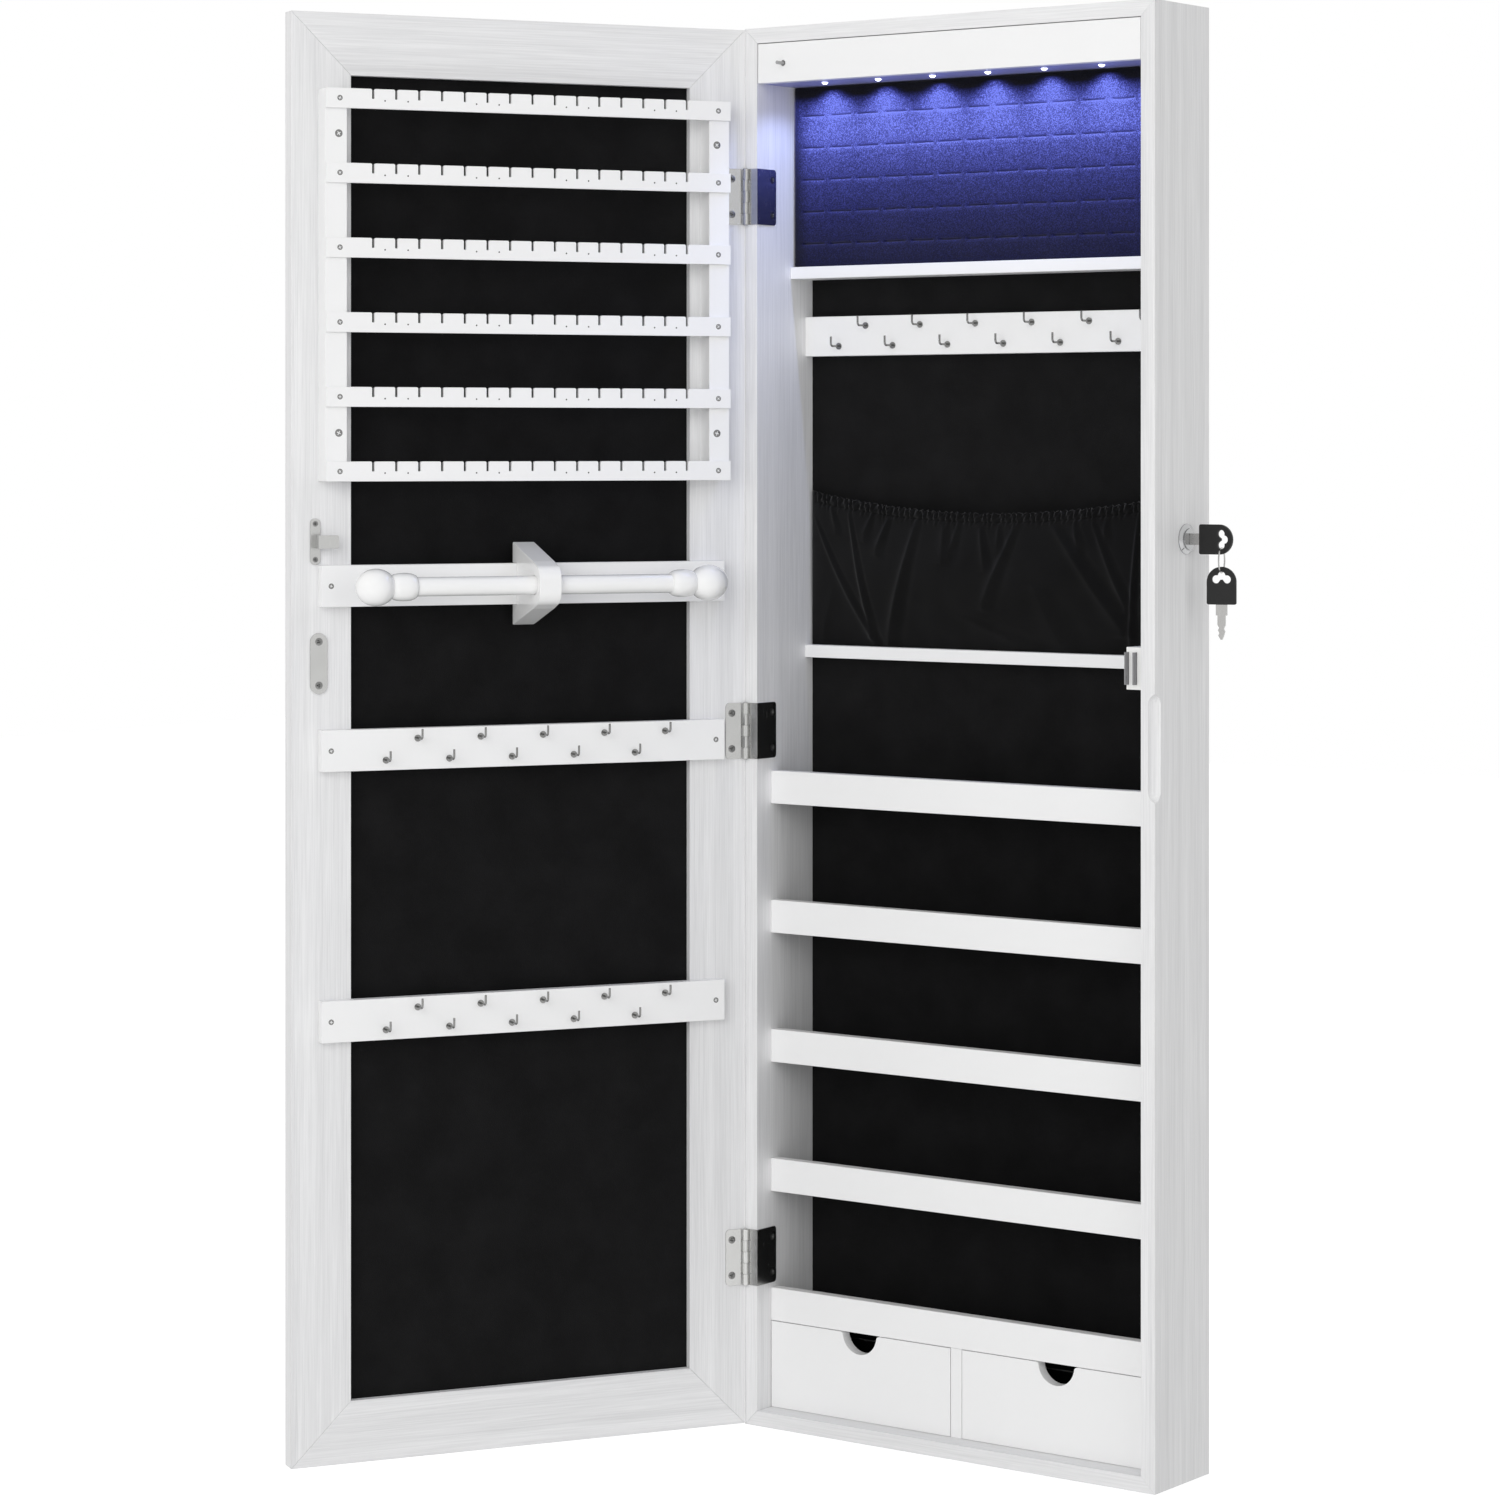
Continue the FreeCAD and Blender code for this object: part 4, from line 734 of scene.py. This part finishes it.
# %% [markdown]
# The pocket is one piece of velvet, nailed along its foot and sides and gathered by elastic at its
# mouth. The elastic puckers the top edge finely, and the spare cloth below it runs down in long
# creases. The sheet is shaped directly: fine waves at the top, and a ridge along each crease.

# %% Gathered velvet pocket
pocket_low, pocket_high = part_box("pocket_cloth")
pocket_mid = (pocket_low.x + pocket_high.x) / 2
pocket_half = (pocket_high.x - pocket_low.x) / 2
elastic_band = 0.0078
# each crease: x and height share at its head, x and height share at its foot, width, height in mm
creases = [
    (-172, 0.86, -112, 0.02, 2.4, 1.9), (-134, 0.93, -115, 0.1, 2.0, 2.1),
    (-66, 0.93, -99, 0.05, 3.8, 2.6), (-93, 0.93, -106, 0.68, 2.6, 1.7),
    (-110, 0.93, -118, 0.78, 2.4, 1.3), (27, 0.93, -6, 0.34, 3.6, 2.0),
    (57, 0.93, 117, 0.16, 5.5, 2.8), (93, 0.93, 121, 0.32, 2.6, 2.1), (134, 0.93, 123, 0.0, 1.9, 2.2),
    (-40, 0.93, -43, 0.66, 3.4, 1.4), (-26, 0.93, -36, 0.7, 2.6, 1.1), (-7, 0.93, -3, 0.62, 2.6, 1.5),
    (11, 0.93, 9, 0.76, 2.2, 1.0), (78, 0.93, 81, 0.74, 2.4, 1.2), (106, 0.93, 105, 0.8, 2.2, 1.1),
    (-152, 0.93, -147, 0.8, 2.2, 1.2), (150, 0.93, 140, 0.3, 3.5, 1.8), (163, 0.93, 160, 0.5, 2.6, 1.2),
    (-30, 0.25, 22, 0.05, 8.0, 0.9), (40, 0.5, 62, 0.02, 9.0, 1.2), (-150, 0.4, -163, 0.05, 7.0, 1.0),
]


def pocket_point(u, t):
    """A point of the pocket: u from -1 to 1 across, t from 0 at the foot to 1 at the mouth."""
    share = 1 - u * u
    foot, sag = pocket_low.z + 0.0004, 0.017 * share
    x = pocket_mid + u * (pocket_half - 0.0012)
    z = foot + t * (pocket_high.z - 0.0012 - sag - foot)
    belly = math.sin(min(1.0, t / 0.62) * math.pi / 2)
    stand = 0.0112 * belly * math.sqrt(max(share, 0))
    ridge = 0.0
    for head_x, head_t, foot_x, foot_t, width, high in creases:
        if t > head_t + 0.04 or t < foot_t - 0.05:
            continue
        along = min(1.0, max(0.0, (head_t - t) / max(head_t - foot_t, 0.01)))
        line = (head_x + (foot_x - head_x) * along) / 1000
        taper = math.sin(math.pi * min(1.0, 0.12 + 0.88 * (1 - along) ** 0.8)) ** 0.5
        away = (x - line) / (width * (0.6 + 0.8 * along) / 1000)
        ridge += high / 1000 * taper * math.exp(-abs(away) ** 1.4)
        ridge -= high * 0.35 / 1000 * taper * hill(away - 2.1, 1)
    below_top = (1 - t) * (pocket_high.z - foot)
    hold = min(1.0, share * 7)                  # nothing moves where the sides are nailed
    phase = u * 196 + 3.2 * noise.noise(Vector((u * 21, 0, 0)))
    reach = 0.0092 + 0.0035 * noise.noise(Vector((u * 34, 5, 0)))
    fine = math.exp(-((below_top / reach) ** 3))
    pucker = math.sin(phase) * 0.00085 + math.sin(phase * 1.53 + below_top * 900) * 0.0005
    stitch = hill(below_top - elastic_band, 0.0009) * 0.0012
    slack = 0.0005 * noise.noise(Vector((u * 9, t * 5, 2)))
    rise = stand + ridge * hold * (1 - fine) + (pucker * fine - stitch + slack) * hold
    y = pocket_high.y - 0.0012 - rise
    if t > 0.97:
        z += 0.0007 * math.sin(phase * 0.97) * hold
    return Vector((x, min(y, pocket_high.y - 0.0011), z))


across, up = 420, 84
points = [pocket_point(-1 + 2 * i / across, 1 - (1 - k / up) ** 1.45)
          for i in range(across + 1) for k in range(up + 1)]
pocket_sheet = mesh_of("pocket_sheet", points, grid_faces(across, up))
carrier = linked("pocket_carrier", pocket_sheet)
cloth = carrier.modifiers.new("thickness", "SOLIDIFY")
cloth.thickness, cloth.offset = 0.0009, 0
pocket = keep_mesh("pocket_velvet", smoothed(settled(carrier), 80), velvet_pocket, "case",
                   ("pocket_cloth",))

# %% [markdown]
# Hooks, screws and stud holes repeat, so Geometry Nodes set them, on points that say where each
# one goes and which way it faces.

# %% A helper for node trees
class Tree(Nodes):
    """A Geometry Nodes tree with named inputs."""

    def __init__(self, name, inputs):
        super().__init__(bpy.data.node_groups.new(name, "GeometryNodeTree"))
        sockets = self.tree.interface
        sockets.new_socket("Geometry", in_out="OUTPUT", socket_type="NodeSocketGeometry")
        sockets.new_socket("Places", in_out="INPUT", socket_type="NodeSocketGeometry")
        self.keys = {}
        for label, (kind, value) in inputs.items():
            socket = sockets.new_socket(label, in_out="INPUT", socket_type=kind)
            if value is not None:
                socket.default_value = value
            self.keys[label] = socket.identifier
        self.start = self.tree.nodes.new("NodeGroupInput")

    def given(self, label):
        return Wire(self, self.start.outputs[label])

    def named(self, label, kind):
        return self.node("GeometryNodeInputNamedAttribute", {"data_type": kind}, {"Name": label})

    def finish(self, geometry, material):
        real = self.node("GeometryNodeRealizeInstances", {}, {0: geometry})
        dressed = self.node("GeometryNodeSetMaterial", {}, {"Geometry": real, "Material": material})
        self.join(self.tree.nodes.new("NodeGroupOutput").inputs[0], dressed)
        return self


def set_out(tree, places, values):
    """Run a tree on places, each a point, an aim (which way the piece faces) and a size."""
    points, aims, sizes = zip(*places)
    mesh = mesh_of("places", points, [])
    aim = mesh.attributes.new("aim", "FLOAT_VECTOR", "POINT")
    aim.data.foreach_set("vector", [v for aim in aims for v in aim])
    mesh.attributes.new("size", "FLOAT", "POINT").data.foreach_set("value", sizes)
    carrier = linked("carrier", mesh)
    modifier = carrier.modifiers.new("set", "NODES")
    modifier.node_group = tree.tree
    for label, value in values.items():
        modifier[tree.keys[label]] = value
    carrier.update_tag()
    bpy.context.view_layer.update()
    return settled(carrier)


print("tree helper ready")

# %% [markdown]
# A hook is a plated wire that comes straight out of the board through a small round collar and
# turns up. In the tree, three points make the path, Fillet Curve rounds the bend, and Curve to
# Mesh gives it the wire's thickness.

# %% Bend and set the hooks
def hook_tree():
    tree = Tree("wire_hooks", {
        "Reach": ("NodeSocketFloat", 0.0113), "Rise": ("NodeSocketFloat", 0.0075),
        "Bend": ("NodeSocketFloat", 0.0024), "Wire": ("NodeSocketFloat", 0.00082),
        "Collar": ("NodeSocketFloat", 0.0026), "Collar Height": ("NodeSocketFloat", 0.0008),
        "Metal": ("NodeSocketMaterial", None)})
    line = tree.node("GeometryNodeCurvePrimitiveLine", {}, {})
    three = tree.node("GeometryNodeResampleCurve", {}, {"Curve": line, "Count": 3})
    index = tree.node("GeometryNodeInputIndex", {}, {})
    first = index.maths("MINIMUM", 1.0)
    spot = tree.node("ShaderNodeCombineXYZ", {}, {
        "Y": first * tree.given("Reach"), "Z": (index - first) * tree.given("Rise")})
    path = tree.node("GeometryNodeSetPosition", {}, {"Geometry": three, "Position": spot})
    bent = tree.node("GeometryNodeFilletCurve", {"mode": "POLY"},
                     {"Curve": path, "Count": 6, "Radius": tree.given("Bend")})
    ring = tree.node("GeometryNodeCurvePrimitiveCircle", {},
                     {"Resolution": 12, "Radius": tree.given("Wire")})
    wire = tree.node("GeometryNodeCurveToMesh", {},
                     {"Curve": bent, "Profile Curve": ring, "Fill Caps": True})
    collar = tree.node("GeometryNodeMeshCylinder", {}, {
        "Vertices": 24, "Radius": tree.given("Collar"), "Depth": tree.given("Collar Height")})
    seat = tree.node("ShaderNodeCombineXYZ", {}, {"Y": tree.given("Collar Height") * 0.5})
    collar = tree.node("GeometryNodeTransform", {}, {
        "Geometry": collar, "Translation": seat, "Rotation": (math.pi / 2, 0, 0)})
    both = tree.node("GeometryNodeJoinGeometry", {}, {0: wire})
    tree.join(both.socket.node.inputs[0], collar)
    facing = tree.node("FunctionNodeAlignRotationToVector", {"axis": "Y", "pivot_axis": "Z"},
                       {"Vector": tree.named("aim", "FLOAT_VECTOR")})
    copies = tree.node("GeometryNodeInstanceOnPoints", {}, {
        "Points": tree.given("Places"), "Instance": both, "Rotation": facing})
    return tree.finish(copies, tree.given("Metal"))


def staggered(count, pitch, middle, first):
    """Places across a board, up (1) and down (-1) by turns."""
    return [(middle.x + (k - (count - 1) / 2) * pitch, middle.y, middle.z + first * (-1) ** k * hook_rise)
            for k in range(count)]


hooks, hook_rise = hook_tree(), 0.008
board_low, board_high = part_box("necklace_hook_board")
middle = (board_low + board_high) / 2
middle.y = board_low.y
case_hooks = [(spot, (0, -1, 0), 1.0) for spot in staggered(12, 0.0259, middle, -1)]
mesh = set_out(hooks, case_hooks, {"Metal": wire_nickel})
keep_mesh("necklace_wire_hooks", smoothed(mesh, 50), wire_nickel, "case", ("necklace_hooks",))
rail_low, rail_high = closed_box("door_hook_boards")
out_of_door = (on_open_door((0, 1, 0)) - on_open_door((0, 0, 0))).normalized()
door_hooks = []
half_board = 0.01575
for z in (rail_low.z + half_board, rail_high.z - half_board):
    middle = Vector(((rail_low.x + rail_high.x) / 2, rail_high.y, z))
    for spot in staggered(10, 0.0254, middle, 1):
        door_hooks.append((on_open_door(spot), out_of_door, 1.0))
mesh = set_out(hooks, door_hooks, {"Metal": wire_nickel})
keep_mesh("door_wire_hooks", smoothed(mesh, 50), wire_nickel, "door", ("door_hooks",))
print("hooks", len(case_hooks), "in the case and", len(door_hooks), "on the door")

# %% [markdown]
# Every screw is a countersunk cross-head. One head is modelled: a shallow dome with a cross pressed
# into it. The tree sets it on each point, faces it along the point's aim, and gives each screw its
# own turn from a fixed seed.

# %% A cross-head screw
def disc(rings, name):
    """A closed disc facing +Z, from its middle point, rings of points round it and a flat back."""
    around, points = len(rings[1]), [point for ring in rings for point in ring]
    faces = []
    for k in range(around):
        n = (k + 1) % around
        faces.append((0, 1 + k, 1 + n))
        for ring in range(len(rings) - 2):
            a, b = 1 + ring * around, 1 + (ring + 1) * around
            faces.append((a + k, b + k, b + n, a + n))
    faces.append(tuple(1 + (len(rings) - 2) * around + k for k in reversed(range(around))))
    return joined([mesh_of(name, points, faces)])


def circle(radius, around):
    """(x, y) round a circle."""
    turns = [2 * math.pi * k / around for k in range(around)]
    return [(radius * math.cos(turn), radius * math.sin(turn)) for turn in turns]


def cross_head(around=48):
    """A screw head of radius 1: a dome pressed in where the cross is."""
    cross_half, cross_reach, cross_depth = 0.13, 0.66, 0.5
    rings = [[(0, 0, -0.34)]]
    for radius in (0.16, 0.26, 0.34, 0.46, 0.58, 0.66, 0.76, 0.88, 0.96, 1.0):
        dome, ring = 0.11 * (1 - radius ** 2) + 0.02, []
        for x, y in circle(radius, around):
            in_cross = min(abs(x), abs(y)) < cross_half
            press = cross_depth * max(0.0, 1 - max(abs(x), abs(y)) / cross_reach) if in_cross else 0.0
            ring.append((x, y, dome - press))
        rings.append(ring)
    rings.append([(x, y, -0.3) for x, y in circle(1, around)])
    return smoothed(disc(rings, "cross_head"), 40)


def stamp_tree():
    tree = Tree("set_pattern_on_places", {
        "Pattern": ("NodeSocketObject", None), "Seed": ("NodeSocketInt", 7),
        "Most Turn": ("NodeSocketFloat", 3.1416), "Finish": ("NodeSocketMaterial", None)})
    pattern = tree.node("GeometryNodeObjectInfo", {}, {"Object": tree.given("Pattern")}, "Geometry")
    facing = tree.node("FunctionNodeAlignRotationToVector", {"axis": "Z"},
                       {"Vector": tree.named("aim", "FLOAT_VECTOR")})
    turn = tree.node("FunctionNodeRandomValue", {"data_type": "FLOAT"},
                     {3: tree.given("Most Turn"), "Seed": tree.given("Seed")}, 1)
    spin = tree.node("FunctionNodeAxisAngleToRotation", {}, {"Axis": (0, 0, 1), "Angle": turn})
    turned = tree.node("FunctionNodeRotateRotation", {"rotation_space": "LOCAL"},
                       {"Rotation": facing, "Rotate By": spin})
    copies = tree.node("GeometryNodeInstanceOnPoints", {}, {
        "Points": tree.given("Places"), "Instance": pattern, "Rotation": turned,
        "Scale": tree.named("size", "FLOAT")})
    return tree.finish(copies, tree.given("Finish"))


stamps = stamp_tree()
head_pattern = linked("cross_head_pattern", cross_head())
print("screw head faces", len(head_pattern.data.polygons))

# %% [markdown]
# The screws' places come from the CAD screws: each loose peg gives its wider end, and so the
# head's middle, its radius and the way it faces.

# %% Set the screws
def pegs(node):
    """(middle of the head, aim, head radius) for every loose peg in a CAD screw node."""
    work = merged(nodes[node].data)
    left, found = set(work.verts), []
    for start in work.verts:
        if start not in left:
            continue
        left.remove(start)
        stack, island = [start], []
        while stack:
            vert = stack.pop()
            island.append(vert)
            for edge in vert.link_edges:
                other = edge.other_vert(vert)
                if other in left:
                    left.remove(other)
                    stack.append(other)
        points = np.array([vert.co for vert in island])
        span = np.linalg.svd(points - points.mean(0))[2][0]
        ends = []
        for side in (-1, 1):
            along = (points - points.mean(0)) @ span * side
            rim = points[along > max(along) - 1e-5]
            radius = float(np.linalg.norm(rim - rim.mean(0), axis=1).max())
            ends.append((radius, side, rim.mean(0)))
        radius, side, centre = max(ends, key=lambda end: end[0])
        found.append((Vector(centre), Vector(span * side).normalized(), radius))
    work.free()
    return found


for node, name, body, seed in (("case_screws", "case_screw_heads", "case", 11),
                               ("door_screws", "door_screw_heads", "door", 23)):
    places = [(centre - aim * 0.00005, aim, radius * 1.02) for centre, aim, radius in pegs(node)]
    mesh = set_out(stamps, places, {"Pattern": head_pattern, "Seed": seed, "Finish": screw_nickel})
    keep_mesh(name, mesh, screw_nickel, body, (node,))
    print(name, len(places))
bpy.data.objects.remove(head_pattern)

# %% [markdown]
# Between some of the earring slots the bars have fine holes for studs. Each is a shallow cup, far
# smaller than the bar, painted dark all over as the shade inside the hole, and the same tree that
# set the screw heads sets the cups.

# %% Stud holes in the earring bars
def stud_hole(around=16):
    """A hole of radius 1: a hair-thin dished disc that carries the hole's painted shade."""
    steps = ((0.7, 0.02), (1, 0.06), (1, -0.2))
    rings = [[(x, y, z) for x, y in circle(radius, around)] for radius, z in steps]
    return disc([[(0, 0, 0.01)]] + rings, "stud_hole")


bars_low, bars_high = closed_box("earring_bars")
slot_pitch, bar_pitch, hole_height, hole_radius = 0.0183, 0.05615, 0.0062, 0.0006
holes = []
for bar in range(6):
    for tab in (0, 1, 4, 5, 8, 9, 12, 13):
        x = (bars_low.x + bars_high.x) / 2 + (tab - 6.5) * slot_pitch
        z = bars_low.z + bar * bar_pitch + hole_height
        holes.append((on_open_door((x, bars_high.y, z)), out_of_door, hole_radius))
hole_pattern = linked("stud_hole_pattern", stud_hole())
# The holes' dark finish is painted shade.
hole_painted_shade = plain("stud_hole_dark", 0.02, 0.035, 0.9, 0.0005)
mesh = set_out(stamps, holes, {"Pattern": hole_pattern, "Finish": hole_painted_shade})
keep_mesh("stud_holes", mesh, hole_painted_shade, "door")
bpy.data.objects.remove(hole_pattern)
print("stud holes", len(holes))

# %% [markdown]
# The studio is even and white. The world is white to the camera and to polished metal but lights
# the cabinet more gently, and a broad lamp in front gives soft shadows. Six small lamps under the
# light box throw its blue light on the walls.

# %% Studio, floor and lamps
def soft_lamp(name, place, target, size, energy):
    """A square lamp facing its target."""
    data = bpy.data.lights.new(name, "AREA")
    data.shape, data.size, data.energy = "SQUARE", size, energy
    lamp = linked(name, data)
    lamp.location = place
    lamp.rotation_euler = (Vector(target) - Vector(place)).to_track_quat("-Z", "Y").to_euler()
    lamp.visible_glossy = False


def seen_white(owner):
    """1 for the camera's rays and those in gloss and glass, 0 for the rays that light things."""
    rays = [owner.node("ShaderNodeLightPath", {}, {}, label)
            for label in ("Is Camera Ray", "Is Glossy Ray", "Is Transmission Ray")]
    return rays[0].maths("MAXIMUM", rays[1]).maths("MAXIMUM", rays[2])


world = bpy.data.worlds.new("studio")
bpy.context.scene.world = world
world.use_nodes = True
sky = Nodes(world.node_tree)
gentle, bright = (sky.node("ShaderNodeBackground", {}, {"Color": 1.0, "Strength": strength})
                  for strength in (0.58, 1.0))
shown = sky.node("ShaderNodeMixShader", {}, {0: seen_white(sky), 1: gentle, 2: bright})
sky.join(sky.tree.nodes["World Output"].inputs["Surface"], shown)

floor_z = -0.25
floor_mesh = mesh_of("floor", [(x, y, floor_z) for x, y in ((-9, -9), (9, -9), (9, 9), (-9, 9))],
                     [(0, 1, 2, 3)])
floor = linked("floor", floor_mesh)
floor_finish = Finish("pale_floor", Roughness=0.9, Specular_IOR_Level=0.1)
cloud = floor_finish.speckle(0.4, 2.0)
floor_finish.give("Base Color", floor_finish.mix(cloud, 0.80, 0.82))
floor_finish.give("Emission Color", floor_finish.mix(seen_white(floor_finish), 0.0, 1.0))
floor_finish.give("Emission Strength", 0.6)
floor_mesh.materials.append(floor_finish.material)

soft_lamp("front_lamp", (0.7, -3.2, 1.5), (-0.05, 0, 0.6), 2.4, 46)
soft_lamp("right_lamp", (2.9, -0.9, 1.2), (0, 0, 0.6), 1.8, 11)
soft_lamp("left_lamp", (-2.6, -1.6, 1.9), (0, 0, 0.6), 2.0, 8)
for k in range(led_count):
    data = bpy.data.lights.new("led_%d" % (k + 1), "SPOT")
    data.energy, data.color, data.shadow_soft_size = 0.16, (0.46, 0.55, 1.0), 0.002
    data.spot_size, data.spot_blend = math.radians(150), 0.6
    lamp = linked(data.name, data)
    lamp.location = (lens_low.x + lens_radius + k * led_pitch, (lens_low.y + lens_high.y) / 2,
                     lens_low.z - 0.004)
print("lamps", 3, "and lights", led_count)

# %% [markdown]
# The camera stands well to the right, level, at about two thirds of the cabinet's height, with a
# long lens. The picture was framed lower than the lens's axis, so the lens is shifted.

# %% Camera at the photograph's angle
picture, focal, eye_level = 1500, 4153.7, 447.6        # pixels: width, focal length, row of the horizon
camera_data = bpy.data.cameras.new("camera")
camera_data.sensor_width = 36.0
camera_data.lens = camera_data.sensor_width * focal / picture
camera_data.shift_y = -(picture / 2 - eye_level) / picture
camera_data.clip_start, camera_data.clip_end = 0.1, 60
camera = linked("camera", camera_data)
camera.location = (1.7611, -2.6724, 0.770)
camera.rotation_euler = (math.pi / 2, 0, math.radians(36.433))
bpy.context.scene.camera = camera
bpy.context.scene.view_settings.view_transform = "Standard"
print("lens", round(camera_data.lens, 1), "mm")
